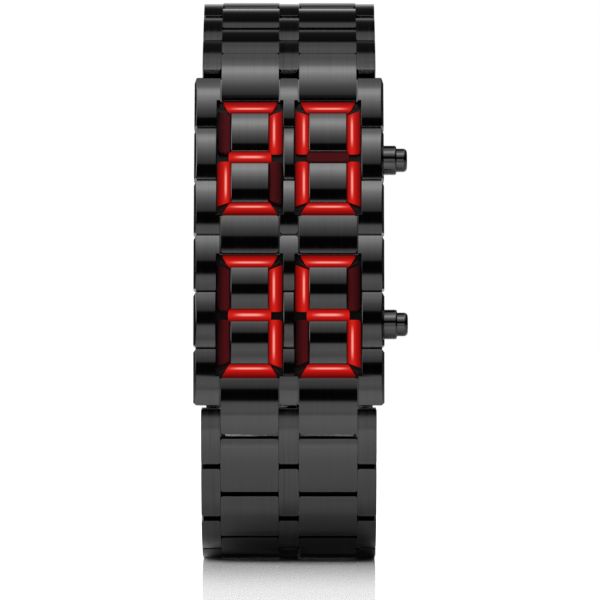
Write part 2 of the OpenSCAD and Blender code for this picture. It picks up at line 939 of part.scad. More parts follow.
module case_back() {
    color(bright_steel)
        at_case()
            difference() {
                rounded_plate(hollow_half_w + back_lap, hollow_half_l + back_lap, back_corner,
                    back_face, back_seat);
                at_screws() {
                    translate([0, 0, back_face - cut])
                        cylinder(r = screw_d / 2 + hold_clear, h = back_t + 2 * cut, $fn = round_fn);
                    translate([0, 0, back_face - cut])
                        cylinder(r = screw_head_d / 2 + hold_clear, h = cut + back_t / 2, $fn = round_fn);
                }
            }
}

module case_back_screws() {
    slot_w = 0.3;
    slot_h = 0.2;
    head_h = back_t / 2 - seat_gap - hold_clear;
    color(bright_steel)
        at_case()
            at_screws()
                translate([0, 0, back_face + seat_gap])
                    difference() {
                        union() {
                            cylinder(r = screw_head_d / 2, h = head_h, $fn = round_fn);
                            cylinder(r = screw_d / 2, h = screw_l, $fn = round_fn);
                        }
                        translate([-far / 2, -slot_w / 2, -cut])
                            cube([far, slot_w, cut + slot_h]);
                    }
}

module pusher_tubes() {
    color(black_steel)
        at_case()
            at_pushers()
                difference() {
                    union() {
                        rod(neck_r, neck_start, side_x + fuse);
                        rod(collar_d / 2, side_x, collar_end);
                    }
                    rod(stem_d / 2 + run_clear, neck_start - cut, collar_end);
                    rod(cup_r, cup_floor, collar_end + cut);
                    rod(stem_d / 2 + seal_room[1], seal_x, seal_x + seal_room[0]);
                }
}

// Cap, stem and the clip that stops it inside the case.
module pusher(end) {
    color(black_steel)
        at_case()
            translate([0, end * pusher_y, -pusher_depth]) {
                rod(cap_d / 2, cap_start, cap_end);
                rod(stem_d / 2, stem_end, cap_start + fuse);
                rod(clip_r, clip_x, clip_x + clip_t);
            }
}

module upper_pusher() {
    pusher(1);
}

module lower_pusher() {
    pusher(-1);
}

module pusher_seal(end) {
    color(seal_rubber)
        at_case()
            translate([seal_x + seal_room[0] - seal_r - seat_gap, end * pusher_y, -pusher_depth])
                rotate([0, 90, 0])
                    rotate_extrude($fn = round_fn)
                        translate([stem_d / 2 + seal_r + seal_gap, 0])
                            circle(seal_r, $fn = 24);
}

module upper_pusher_seal() {
    pusher_seal(1);
}

module lower_pusher_seal() {
    pusher_seal(-1);
}

// A coil along X as one unbroken tube: its wire runs on a helix, with a ring of four points at each step.
function coil_turn(t, turns, r, l) = [t / turns * l, r * cos(360 * t), r * sin(360 * t)];
module coil(r, wire, l, turns) {
    per_turn = 8;
    sides = 4;
    n = turns * per_turn;
    points = [
        for (i = [0 : n])
            let (t = i / per_turn, c = coil_turn(t, turns, r, l))
                for (k = [0 : sides - 1])
                    let (a = 360 * k / sides, out = wire / 2 * cos(a), side = wire / 2 * sin(a))
                        c + [side, out * cos(360 * t), out * sin(360 * t)]
    ];
    walls = [
        for (i = [0 : n - 1], k = [0 : sides - 1])
            let (j = (k + 1) % sides, p = i * sides, q = p + sides)
                each [[p + k, q + k, q + j], [p + k, q + j, p + j]]
    ];
    first = [[0, 1, 2], [0, 2, 3]];
    last = [[0, 2, 1], [0, 3, 2]];
    polyhedron(points, concat(walls, first, [for (f = last) f + [n, n, n] * sides]));
}

module pusher_spring(end) {
    room = cap_start - cup_floor - 2 * seat_gap - pusher_wire;
    color(bright_steel)
        at_case()
            translate([cup_floor + seat_gap + pusher_wire / 2, end * pusher_y, -pusher_depth])
                coil(cap_d / 2 - spring_under, pusher_wire, room, pusher_turns);
}

module upper_pusher_spring() {
    pusher_spring(1);
}

module lower_pusher_spring() {
    pusher_spring(-1);
}

module circle_at(y, z, r) {
    translate([y, z])
        circle(r, $fn = round_fn);
}

// The blade that hangs on the lower end of the band, with a knuckle at each side of the fold.
module inner_blade() {
    half = inner_blade_w / 2;
    knuckle = fold_knuckle / 2;
    color(bright_steel)
        at_clasp()
            difference() {
                union() {
                    across(-half, half)
                        translate([0, inner_z])
                            square([fold_y, blade_t]);
                    for (side = [-1, 1])
                        mirror([side < 0 ? 1 : 0, 0, 0]) {
                            across(wide_x, half)
                                circle_at(0, 0, tube_r);
                            across(knuckle, half)
                                circle_at(fold_y, fold_z, fold_r);
                        }
                }
                across(-wide_x, wide_x)
                    translate([-far / 2, -far / 2])
                        square([far / 2 + end_r + joint_gap, far]);
                across(-knuckle, knuckle)
                    translate([fold_y - fold_r - fold_room, -far / 2])
                        square([far, far]);
                rod(bar_turning_r, -far, far);
                translate([0, fold_y, fold_z])
                    rod(rivet_d / 2 + run_clear, -far, far);
            }
}

// The blade between the fold and the cover's hinge.
module outer_blade() {
    half = outer_blade_w / 2;
    tongue = fold_knuckle / 2 - fold_room;
    plate_end = fold_y - fold_r - fold_room;
    color(bright_steel)
        at_clasp()
            difference() {
                union() {
                    across(-half, half) {
                        translate([cover_hinge, outer_z])
                            square([plate_end - cover_hinge, blade_t]);
                        circle_at(cover_hinge, cover_hinge_z, cover_knuckle_r);
                    }
                    across(-tongue, tongue) {
                        translate([plate_end - fuse, outer_z])
                            square([fold_y - plate_end + fuse, blade_t]);
                        circle_at(fold_y, fold_z, fold_r);
                    }
                }
                translate([0, fold_y, fold_z])
                    rod(rivet_d / 2 + hold_clear, -far, far);
                translate([0, cover_hinge, cover_hinge_z])
                    rod(rivet_d / 2 + hold_clear, -far, far);
            }
}

// One rivet at the blades' fold and one at the cover's hinge.
module clasp_rivets() {
    fold_half = inner_blade_w / 2;
    hinge_half = cover_lug_x + cover_lug_w;
    color(bright_steel)
        at_clasp() {
            translate([0, fold_y, fold_z])
                rod(rivet_d / 2, -fold_half, fold_half);
            translate([0, cover_hinge, cover_hinge_z])
                rod(rivet_d / 2, -hinge_half, hinge_half);
        }
}

// The outer cover: a plate with side walls, hinge lugs, and an ear at each side of the last upper link.
module clasp_cover() {
    half = band_w / 2;
    slot = [button_l + 2 * button_room, button_h + 2 * button_room];
    color(black_steel)
        at_clasp()
            difference() {
                union() {
                    across(-half, half)
                        translate([cover_start, cover_z])
                            square([cover_stop - cover_start, cover_t]);
                    for (side = [-1, 1])
                        mirror([side < 0 ? 1 : 0, 0, 0]) {
                            across(half - wall_w, half)
                                translate([wall_start, wall_bottom])
                                    square([cover_stop - wall_start, cover_z + fuse - wall_bottom]);
                            across(cover_lug_x, cover_lug_x + cover_lug_w) {
                                circle_at(cover_hinge, cover_hinge_z, cover_lug_r);
                                translate([cover_hinge - cover_lug_r, cover_hinge_z])
                                    square([2 * cover_lug_r, cover_z + fuse - cover_hinge_z]);
                            }
                            across(half - ear_w, half) {
                                circle_at(clasp_l, 0, ear_r);
                                translate([cover_stop - fuse, wall_bottom])
                                    square([clasp_l - cover_stop + fuse, cover_z + cover_t - wall_bottom]);
                            }
                        }
                }
                translate([0, clasp_l, 0])
                    rod(bar_tip_d / 2 + run_clear, -far, far);
                translate([0, cover_hinge, cover_hinge_z])
                    rod(rivet_d / 2 + run_clear, -half + wall_w, half - wall_w);
                translate([-far, button_y - slot[0] / 2, button_z - slot[1] / 2])
                    cube([2 * far, slot[0], slot[1]]);
            }
}

// A release button: a cap in the cover's side wall on a foot that slides under the cover.
module button(side) {
    cap_x = button_foot_x + button_foot[0];
    color(black_steel)
        at_clasp()
            mirror([side < 0 ? 1 : 0, 0, 0])
                translate([0, button_y, button_z]) {
                    translate([cap_x - fuse, -button_l / 2, -button_h / 2])
                        cube([button_end - cap_x + fuse, button_l, button_h]);
                    translate([button_foot_x, -button_foot[1] / 2, -button_foot[2] / 2])
                        cube(button_foot);
                }
}

// The clasp's own x runs the other way, so the left button is on its positive side.
module left_button() {
    button(1);
}

module right_button() {
    button(-1);
}

module button_spring() {
    half = button_foot_x - seat_gap - spring_wire / 2;
    color(bright_steel)
        at_clasp()
            translate([-half, button_y, button_z])
                coil(button_spring_r, spring_wire, 2 * half, button_turns);
}

// A spring bar whose tips sit in the last link's outer plates.
module lower_spring_bar() {
    shoulder = edge_x - joint_gap / 2;
    tip = band_w / 2 - 3 * pin_recess;
    color(bright_steel)
        at_clasp() {
            rod(bar_d / 2, -shoulder, shoulder);
            for (x = [shoulder, -tip])
                rod(bar_tip_d / 2, x, x + tip - shoulder);
        }
}

// This bar's tips are drawn pressed in, between the cover's ears, as when the band is taken off.
module upper_spring_bar() {
    shoulder = edge_x - joint_gap / 2;
    color(bright_steel)
        at_clasp()
            translate([0, clasp_l, 0])
                rod(bar_d / 2, -shoulder, shoulder);
}

case_body();
segment_mask();
hours_lens();
minutes_lens();
light_box();
led_chips();
circuit_board();
board_components();
contact_springs();
module_frame();
coin_cells();
back_gasket();
case_back();
case_back_screws();
pusher_tubes();
upper_pusher();
lower_pusher();
upper_pusher_seal();
lower_pusher_seal();
upper_pusher_spring();
lower_pusher_spring();
inner_blade();
outer_blade();
clasp_cover();
clasp_rivets();
lower_spring_bar();
upper_spring_bar();
left_button();
right_button();
button_spring();
for (i = [1 : upper_n])
    upper_link(i);
for (i = [1 : lower_n])
    lower_link(i);
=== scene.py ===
"""A black bracelet watch with four red segment figures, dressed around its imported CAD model.

Pieces are modelled in millimetres in the local frame of what they belong to, and are then brought to
the shared frame in metres. In a local frame x runs across the band, y along it and z away from the wrist.
"""

import json
import logging
import math
from contextlib import contextmanager
from dataclasses import dataclass, field
from enum import Enum
from typing import ClassVar, Iterator

import bmesh
import bpy
from mathutils import Matrix, Vector


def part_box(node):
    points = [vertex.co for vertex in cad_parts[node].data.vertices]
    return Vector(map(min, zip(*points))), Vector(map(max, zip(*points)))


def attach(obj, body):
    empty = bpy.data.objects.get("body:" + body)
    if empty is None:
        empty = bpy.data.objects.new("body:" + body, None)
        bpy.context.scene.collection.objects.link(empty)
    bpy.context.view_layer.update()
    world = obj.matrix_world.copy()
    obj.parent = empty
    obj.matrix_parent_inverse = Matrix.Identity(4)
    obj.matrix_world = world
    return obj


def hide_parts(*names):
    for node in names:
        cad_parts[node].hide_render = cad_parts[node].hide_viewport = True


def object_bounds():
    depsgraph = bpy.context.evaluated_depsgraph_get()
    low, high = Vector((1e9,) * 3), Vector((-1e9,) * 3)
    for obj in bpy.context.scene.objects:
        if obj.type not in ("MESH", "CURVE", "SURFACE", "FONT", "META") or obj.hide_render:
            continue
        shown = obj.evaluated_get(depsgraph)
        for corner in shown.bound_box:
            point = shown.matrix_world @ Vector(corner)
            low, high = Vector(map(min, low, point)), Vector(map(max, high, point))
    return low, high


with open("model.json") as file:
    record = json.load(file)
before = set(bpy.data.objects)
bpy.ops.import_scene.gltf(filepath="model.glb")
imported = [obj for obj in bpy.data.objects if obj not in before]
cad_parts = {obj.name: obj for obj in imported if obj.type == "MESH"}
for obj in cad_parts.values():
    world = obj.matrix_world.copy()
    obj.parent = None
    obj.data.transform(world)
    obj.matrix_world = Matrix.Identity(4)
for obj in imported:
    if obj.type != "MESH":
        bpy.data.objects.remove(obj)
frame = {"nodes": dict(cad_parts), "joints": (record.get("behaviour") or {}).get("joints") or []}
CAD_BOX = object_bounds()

log = logging.getLogger("watch")

Pair = tuple[float, float]
Triple = tuple[float, float, float]
Colour = tuple[float, float, float, float]

MM = 0.001
# Faces round a rod or a turned piece
ROUND_FACES = 48
# Faces that meet at less than this angle are shaded as one
SMOOTH_ANGLE = math.radians(38)
# Points closer than this are merged, in mm
MERGE = 0.0005
# How far a cutter stands past what it cuts, in mm
SPARE = 1.0
# How far fused shapes reach into each other, in mm
OVERLAP = 0.1
# Half lengths of cutters that pass right through the case and through the clasp, in mm
DEEP, FAR = 10.0, 20.0


# Modelling


def deselect() -> None:
    """Leaves nothing selected, as operators act on all that is."""
    bpy.ops.object.select_all(action="DESELECT")


def activate(obj: bpy.types.Object) -> None:
    """Selects one object alone and makes it the active one.

    Args:
        obj: The object to work on.
    """
    deselect()
    obj.select_set(True)
    bpy.context.view_layer.objects.active = obj


@contextmanager
def editing(obj: bpy.types.Object, mode: str = "EDGE") -> Iterator[bmesh.types.BMesh]:
    """Opens an object in edit mode with nothing selected.

    Args:
        obj: The object to edit.
        mode: What is selected: VERT, EDGE or FACE.

    Returns:
        The mesh being edited, for choosing its parts.
    """
    activate(obj)
    bpy.ops.object.mode_set(mode="EDIT")
    bpy.ops.mesh.select_mode(type=mode)
    bpy.ops.mesh.select_all(action="DESELECT")
    yield bmesh.from_edit_mesh(obj.data)
    bpy.ops.object.mode_set(mode="OBJECT")


def apply_modifier(obj: bpy.types.Object, kind: str, **settings: object) -> None:
    """Adds a modifier, sets it and applies it.

    Args:
        obj: The object to change.
        kind: The modifier's type.
        settings: Its properties.
    """
    activate(obj)
    modifier = obj.modifiers.new(kind.lower(), kind)
    for key, value in settings.items():
        setattr(modifier, key, value)
    bpy.ops.object.modifier_apply(modifier=modifier.name)


def outward_faces(obj: bpy.types.Object) -> None:
    """Turns every face of a closed mesh outwards.

    Args:
        obj: The object to mend.
    """
    with editing(obj, "FACE"):
        bpy.ops.mesh.select_all(action="SELECT")
        bpy.ops.mesh.normals_make_consistent(inside=False)


def extruded(name: str, points: list[Triple], way: Triple) -> bpy.types.Object:
    """A flat outline pulled out along a line to a closed shape.

    Args:
        name: The object's name.
        points: The outline's points in order.
        way: How far and in which direction it is pulled.

    Returns:
        The new object.
    """
    deselect()
    bpy.ops.mesh.primitive_circle_add(vertices=len(points), radius=1, fill_type="NGON")
    obj = bpy.context.object
    obj.name = name
    for vertex, point in zip(obj.data.vertices, points):
        vertex.co = point
    with editing(obj, "FACE"):
        bpy.ops.mesh.select_all(action="SELECT")
        bpy.ops.mesh.extrude_region_move(TRANSFORM_OT_translate={"value": way})
    outward_faces(obj)
    return obj


def prism(name: str, outline: list[Pair], x0: float, x1: float) -> bpy.types.Object:
    """A bar along x with a given side view.

    Args:
        name: The object's name.
        outline: Its (y, z) points in order.
        x0: Where it starts.
        x1: Where it ends.

    Returns:
        The new object.
    """
    return extruded(name, [(x0, y, z) for y, z in outline], (x1 - x0, 0, 0))


def slab(name: str, outline: list[Pair], z0: float, z1: float) -> bpy.types.Object:
    """A plate of a given plan.

    Args:
        name: The object's name.
        outline: Its (x, y) points in order.
        z0: Its underside.
        z1: Its top.

    Returns:
        The new object.
    """
    return extruded(name, [(x, y, z0) for x, y in outline], (0, 0, z1 - z0))


def block(name: str, low: Triple, high: Triple) -> bpy.types.Object:
    """A box between two corners.

    Args:
        name: The object's name.
        low: Its lowest corner.
        high: Its highest corner.

    Returns:
        The new object.
    """
    outline = [(low[0], low[1]), (high[0], low[1]), (high[0], high[1]), (low[0], high[1])]
    return slab(name, outline, low[2], high[2])


def cylinder(name: str, radius: float, length: float, middle: Triple, turn: Triple) -> bpy.types.Object:
    """A round rod in any direction.

    Args:
        name: The object's name.
        radius: Its radius.
        length: Its length.
        middle: Its middle.
        turn: How it is turned from upright, in radians.

    Returns:
        The new object.
    """
    deselect()
    bpy.ops.mesh.primitive_cylinder_add(
        vertices=ROUND_FACES, radius=radius, depth=length, location=middle, rotation=turn
    )
    obj = bpy.context.object
    obj.name = name
    bpy.ops.object.transform_apply()
    return obj


def rod(name: str, radius: float, x0: float, x1: float, y: float = 0, z: float = 0) -> bpy.types.Object:
    """A round rod along x.

    Args:
        name: The object's name.
        radius: Its radius.
        x0: Where it starts.
        x1: Where it ends.
        y: The place of its axis.
        z: The place of its axis.

    Returns:
        The new object.
    """
    return cylinder(name, radius, x1 - x0, ((x0 + x1) / 2, y, z), (0, math.pi / 2, 0))


def upright_rod(name: str, radius: float, x: float, y: float, z0: float, z1: float) -> bpy.types.Object:
    """A round rod along z.

    Args:
        name: The object's name.
        radius: Its radius.
        x: The place of its axis.
        y: The place of its axis.
        z0: Where it starts.
        z1: Where it ends.

    Returns:
        The new object.
    """
    return cylinder(name, radius, z1 - z0, (x, y, (z0 + z1) / 2), (0, 0, 0))


def turned(name: str, profile: list[Pair]) -> bpy.types.Object:
    """A piece turned about the x axis, as on a lathe.

    Args:
        name: The object's name.
        profile: The (x, radius) points of its half outline, from axis to axis.

    Returns:
        The new object.
    """
    deselect()
    bpy.ops.mesh.primitive_circle_add(vertices=len(profile), radius=1, fill_type="NOTHING")
    obj = bpy.context.object
    obj.name = name
    for vertex, (x, r) in zip(obj.data.vertices, profile):
        vertex.co = (x, 0, r)
    with editing(obj):
        bpy.ops.mesh.select_all(action="SELECT")
        bpy.ops.mesh.spin(steps=ROUND_FACES, angle=2 * math.pi, center=(0, 0, 0), axis=(1, 0, 0))
        bpy.ops.mesh.select_all(action="SELECT")
        bpy.ops.mesh.remove_doubles(threshold=MERGE)
        bpy.ops.mesh.dissolve_degenerate(threshold=MERGE)
        bpy.ops.mesh.select_all(action="SELECT")
        bpy.ops.mesh.delete_loose(use_verts=True, use_edges=True, use_faces=False)
    outward_faces(obj)
    return obj


def combined(obj: bpy.types.Object, operation: str, others: tuple[bpy.types.Object, ...]) -> bpy.types.Object:
    """Combines a piece with other closed shapes, which are deleted.

    Args:
        obj: The piece.
        operation: UNION, DIFFERENCE or INTERSECT.
        others: The other shapes.

    Returns:
        The piece.
    """
    for other in others:
        apply_modifier(obj, "BOOLEAN", operation=operation, solver="EXACT", object=other)
        bpy.data.objects.remove(other)
    return obj


def fused(obj: bpy.types.Object, *others: bpy.types.Object) -> bpy.types.Object:
    """Fuses other closed shapes with a piece and deletes them.

    Args:
        obj: The piece.
        others: The shapes to add.

    Returns:
        The piece.
    """
    return combined(obj, "UNION", others)


def cut(obj: bpy.types.Object, *cutters: bpy.types.Object) -> bpy.types.Object:
    """Cuts other shapes out of a piece and deletes them.

    Args:
        obj: The piece.
        cutters: The closed shapes to take out.

    Returns:
        The piece.
    """
    return combined(obj, "DIFFERENCE", cutters)


def keep_common(obj: bpy.types.Object, other: bpy.types.Object) -> bpy.types.Object:
    """Keeps what a piece shares with another shape, which is deleted.

    Args:
        obj: The piece.
        other: The other shape.

    Returns:
        The piece.
    """
    return combined(obj, "INTERSECT", (other,))


def joined(name: str, parts: list[bpy.types.Object]) -> bpy.types.Object:
    """Joins several closed shapes into one object.

    Args:
        name: The new name.
        parts: The shapes, the first of which is kept.

    Returns:
        The joined object.
    """
    activate(parts[0])
    for part in parts[1:]:
        part.select_set(True)
    bpy.ops.object.join()
    parts[0].name = name
    return parts[0]


def copied(obj: bpy.types.Object, name: str, matrix: Matrix = Matrix.Identity(4)) -> bpy.types.Object:
    """Copies a finished shape with its own mesh.

    Args:
        obj: The shape to copy.
        name: The copy's name.
        matrix: Where the copy goes.

    Returns:
        The copy.
    """
    copy = obj.copy()
    copy.data = obj.data.copy()
    copy.name = name
    copy.data.transform(matrix)
    if matrix.is_negative:
        copy.data.flip_normals()
    bpy.context.scene.collection.objects.link(copy)
    return copy


def shade(obj: bpy.types.Object) -> bpy.types.Object:
    """Shades a piece smooth between its sharp edges.

    Args:
        obj: The piece.

    Returns:
        The piece.
    """
    activate(obj)
    bpy.ops.object.shade_smooth_by_angle(angle=SMOOTH_ANGLE)
    return obj


def soften(obj: bpy.types.Object, width: float, segments: int = 3, angle: float = 32) -> bpy.types.Object:
    """Rounds a piece's edges and shades it smooth between them.

    Args:
        obj: The piece.
        width: The width of the rounding.
        segments: How many faces it takes.
        angle: The least angle in degrees of an edge that is rounded.

    Returns:
        The piece.
    """
    apply_modifier(
        obj, "BEVEL", width=width, segments=segments, limit_method="ANGLE", angle_limit=math.radians(angle),
        miter_outer="MITER_ARC", use_clamp_overlap=True,
    )
    shade(obj)
    apply_modifier(obj, "WEIGHTED_NORMAL", mode="FACE_AREA", keep_sharp=True, weight=60)
    return obj


def arc(centre: Pair, radius: float, start: float, end: float, steps: int) -> list[Pair]:
    """Points on an arc.

    Args:
        centre: The arc's centre.
        radius: Its radius.
        start: The first point's angle in degrees, from the first axis.
        end: The last point's angle in degrees.
        steps: How many steps there are between them.

    Returns:
        The points in order.
    """
    angles = [math.radians(start + (end - start) * i / steps) for i in range(steps + 1)]
    return [(centre[0] + radius * math.cos(a), centre[1] + radius * math.sin(a)) for a in angles]


def rounded_box(half_x: float, half_y: float, corner: float, steps: int = 6) -> list[Pair]:
    """The plan of a plate with rounded corners.

    Args:
        half_x: Half of its width.
        half_y: Half of its length.
        corner: The corners' radius.
        steps: How many steps each corner takes.

    Returns:
        The points in order.
    """
    x, y = half_x - corner, half_y - corner
    corners = [((x, y), 0), ((-x, y), 90), ((-x, -y), 180), ((x, -y), 270)]
    return [p for centre, start in corners for p in arc(centre, corner, start, start + 90, steps)]


# The shared frame


def joint_point(name: str) -> Vector:
    """Where a hinge stands.

    Args:
        name: The joint's name.

    Returns:
        Its point in metres.
    """
    return Vector(next(j["pos_m"] for j in frame["joints"] if j["name"] == name))


def node_middle(name: str) -> Vector:
    """The middle of a CAD node's box, in metres."""
    low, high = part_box(name)
    return (low + high) / 2


def local_frame(origin: Vector, y: Vector, x: Vector = Vector((1, 0, 0))) -> Matrix:
    """The matrix that brings a piece from its local millimetres to the shared frame.

    Args:
        origin: The local origin, in metres.
        y: The direction of the local y.
        x: The direction of the local x.

    Returns:
        The matrix.
    """
    y = y.normalized()
    z = x.cross(y)
    turn = Matrix((x, y, z)).transposed().to_4x4()
    return Matrix.Translation(origin) @ turn @ Matrix.Scale(MM, 4)


def row_pins(row: str, last: Vector) -> list[Vector]:
    """The pins of one half of the band, from the case to the clasp.

    Args:
        row: upper or lower.
        last: The spring bar at the row's end.

    Returns:
        Their middles in metres.
    """
    count = sum(j["name"].startswith(f"{row}_hinge_") for j in frame["joints"])
    return [joint_point(f"{row}_hinge_{i:02d}") for i in range(1, count + 1)] + [last]


UPPER_PINS = row_pins("upper", node_middle("upper_spring_bar"))
LOWER_PINS = row_pins("lower", joint_point("blade_hinge"))
BAND_ROWS = (("upper", UPPER_PINS), ("lower", LOWER_PINS))


@dataclass(frozen=True)
class Pattern:
    """Sizes in millimetres that the case, the band and the clasp share.

    The plates shown are side_grow wider on each side and end_grow longer at each end than the solids,
    into the gaps between them, so that the gaps show as thin as they do on the real watch.
    """

    band_w: float = 22.0
    case_w: float = 24.0
    pitch: float = 7.2
    gap: float = 0.25
    thickness: float = 3.2
    crown: float = 11.0
    narrow_w: float = 2.3
    pin_r: float = 0.5
    pin_recess: float = 0.15
    spring_bar_r: float = 0.7
    press_fit: float = 0.02
    run_fit: float = 0.05
    curve_r: float = 95.0
    edge: float = 0.15
    side_grow: float = 0.122
    end_grow: float = 0.045
    outer_edge: float = 0.36

    @property
    def plate_l(self) -> float:
        """Length of one plate."""
        return self.pitch - self.gap

    @property
    def pin_step(self) -> float:
        """Distance between two pins."""
        return self.pitch / 2

    @property
    def end_r(self) -> float:
        """Radius of a plate's inner ends, about its pins."""
        return (self.plate_l - self.pin_step) / 2

    @property
    def wide_w(self) -> float:
        """Width of a wide plate."""
        return (self.band_w - 3 * self.narrow_w - 4 * self.gap) / 2

    @property
    def wide_x(self) -> float:
        """Where the wide column starts, from the middle."""
        return self.narrow_w / 2 + self.gap

    @property
    def wide_mid(self) -> float:
        """The middle of the wide column."""
        return self.wide_x + self.wide_w / 2

    @property
    def edge_x(self) -> float:
        """Where the outer narrow column starts."""
        return self.wide_x + self.wide_w + self.gap

    @property
    def crest_r(self) -> float:
        """Radius of the case's crests."""
        return self.curve_r + self.thickness / 2

    @property
    def narrow_columns(self) -> list[Pair]:
        """Both sides of each narrow column, grown a little into the gaps beside it.

        Returns:
            The lowest and highest x of the left, the middle and the right column.
        """
        half, middle = self.band_w / 2, self.narrow_w / 2 + self.side_grow
        inner = self.edge_x - self.side_grow
        return [(-half, -inner), (-middle, middle), (inner, half)]

    @property
    def wide_columns(self) -> list[Pair]:
        """Both sides of each wide column, grown a little into the gaps beside it."""
        low, high = self.wide_x - self.side_grow, self.wide_x + self.wide_w + self.side_grow
        return [(-high, -low), (low, high)]

    @property
    def shown_l(self) -> float:
        """Length of one plate with its growth at both ends."""
        return self.plate_l + 2 * self.end_grow

    def crown_z(self, y: float) -> float:
        """Height of a plate's crowned face at a place along it."""
        return self.thickness / 2 - self.crown + math.sqrt(self.crown**2 - y**2)

    def side_view(self, length: float, steps: int = 20) -> list[Pair]:
        """A plate's side view: crowned outside and rounded about its pins inside.

        Args:
            length: The plate's length.
            steps: How many steps the crown takes.

        Returns:
            The (y, z) points in order.
        """
        half, low = length / 2, -self.thickness / 2
        r = min(self.end_r, self.thickness / 2)
        places = [half - length * i / steps for i in range(steps + 1)]
        top = [(y, self.crown_z(y)) for y in places]
        left = arc((-half + r, low + r), r, 180, 270, 6)
        right = arc((half - r, low + r), r, 270, 360, 6)
        return top + left + right

    def plate(self, name: str, x0: float, x1: float, length: float, corner: float) -> bpy.types.Object:
        """One crowned plate with rounded upright corners.

        Args:
            name: The object's name.
            x0: Its left side.
            x1: Its right side.
            length: Its length.
            corner: The radius of its corners, seen from outside.

        Returns:
            The plate, with its edges still sharp.
        """
        body = prism(name, self.side_view(length), x0, x1)
        half_x, half_y = (x1 - x0) / 2, length / 2
        plan = slab("plan", rounded_box(half_x, half_y, corner), -self.thickness, self.thickness)
        plan.data.transform(Matrix.Translation(((x0 + x1) / 2, 0, 0)))
        return keep_common(body, plan)


PATTERN = Pattern()


# Finishes

# Depth of the relief that a bump of strength 1 stands for
BUMP_DEPTH = 0.02 * MM
ACRYLIC_IOR = 1.49
# The red bars hardly mirror the studio, as in the photograph
BAR_SPECULAR = 0.01
# The bars' UV map, where the light's streak lies across it, and where the sheet behind the bars reads it
BAR_UV = "bar"
HOT_LINE = 0.38
SHEET_UV = (0.5, 0.0)
DARK, BRIGHT = (0, 0, 0, 1), (1, 1, 1, 1)


def linear(code: str) -> Colour:
    """Turns an sRGB hex colour to linear values.

    Args:
        code: The colour, such as #1A1A1C.

    Returns:
        Linear red, green, blue and alpha.
    """
    channels = [int(code[i : i + 2], 16) / 255 for i in (1, 3, 5)]
    return (*[c / 12.92 if c <= 0.04045 else ((c + 0.055) / 1.055) ** 2.4 for c in channels], 1.0)


def add_node(
    tree: bpy.types.NodeTree, kind: str, settings: dict[str, object] | None = None, links: dict | None = None
) -> bpy.types.Node:
    """Adds a node with its settings and links.

    Args:
        tree: The tree that takes the node.
        kind: The node's type name.
        settings: Values by property name, or by input name or number.
        links: The output socket that feeds each input, by name or number.

    Returns:
        The node.
    """
    node = tree.nodes.new(kind)
    for key, value in (settings or {}).items():
        if isinstance(key, str) and hasattr(node, key):
            setattr(node, key, value)
        else:
            node.inputs[key].default_value = value
    for key, socket in (links or {}).items():
        tree.links.new(socket, node.inputs[key])
    return node


def fill_ramp(node: bpy.types.Node, stops: list[tuple[float, Colour]], interpolation: str = "LINEAR") -> None:
    """Sets the stops of a colour ramp.

    Args:
        node: The ramp.
        stops: Place and linear colour of each stop, in order.
        interpolation: How it blends between them.
    """
    ramp = node.color_ramp
    ramp.interpolation = interpolation
    while len(ramp.elements) > 1:
        ramp.elements.remove(ramp.elements[0])
    ramp.elements[0].position, ramp.elements[0].color = stops[0]
    for place, colour in stops[1:]:
        ramp.elements.new(place).color = colour


def new_material(name: str) -> tuple[bpy.types.Material, bpy.types.NodeTree, bpy.types.Node]:
    """An empty material.

    Args:
        name: Its name.

    Returns:
        The material, its node tree and its output node.
    """
    material = bpy.data.materials.new(name)
    material.use_nodes = True
    tree = material.node_tree
    tree.nodes.clear()
    return material, tree, tree.nodes.new("ShaderNodeOutputMaterial")


@dataclass(frozen=True)
class Steel:
    """Stainless steel, polished or brushed, bare or plated black.

    The brush leaves streaks along the band, so they vary across it and hardly along it. Streaks are
    drawn about 0.2 mm apart, coarser than real ones, so that they show.
    """

    name: str
    colour: str
    shade: str
    roughness: Pair
    relief: float
    streak_mm: float = 0.2
    streak_stretch: float = 60.0
    spread: Pair = (0.3, 0.7)

    def make(self) -> bpy.types.Material:
        """Builds the material.

        Returns:
            The material.
        """
        material, tree, output = new_material(self.name)
        place = add_node(tree, "ShaderNodeTexCoord").outputs["Object"]
        across = 1 / (self.streak_mm * MM)
        along = across / self.streak_stretch
        low, high = self.spread
        scaled = add_node(
            tree, "ShaderNodeMapping", {"Scale": (across, along, along)}, {"Vector": place}
        ).outputs["Vector"]
        streaks = add_node(
            tree, "ShaderNodeTexNoise", {"Scale": 1.0, "Detail": 3.0, "Roughness": 0.6}, {"Vector": scaled}
        ).outputs["Fac"]
        ramp = add_node(tree, "ShaderNodeValToRGB", links={"Fac": streaks})
        fill_ramp(ramp, [(low, linear(self.shade)), (high, linear(self.colour))])
        rough = add_node(
            tree, "ShaderNodeMapRange",
            {"From Min": low, "From Max": high, "To Min": self.roughness[0], "To Max": self.roughness[1]},
            {"Value": streaks},
        )
        bump = add_node(
            tree, "ShaderNodeBump", {"Strength": self.relief, "Distance": BUMP_DEPTH}, {"Height": streaks}
        )
        shader = add_node(
            tree, "ShaderNodeBsdfPrincipled", {"Metallic": 1.0},
            {
                "Base Color": ramp.outputs["Color"], "Roughness": rough.outputs["Result"],
                "Normal": bump.outputs["Normal"],
            },
        )
        tree.links.new(shader.outputs["BSDF"], output.inputs["Surface"])
        return material


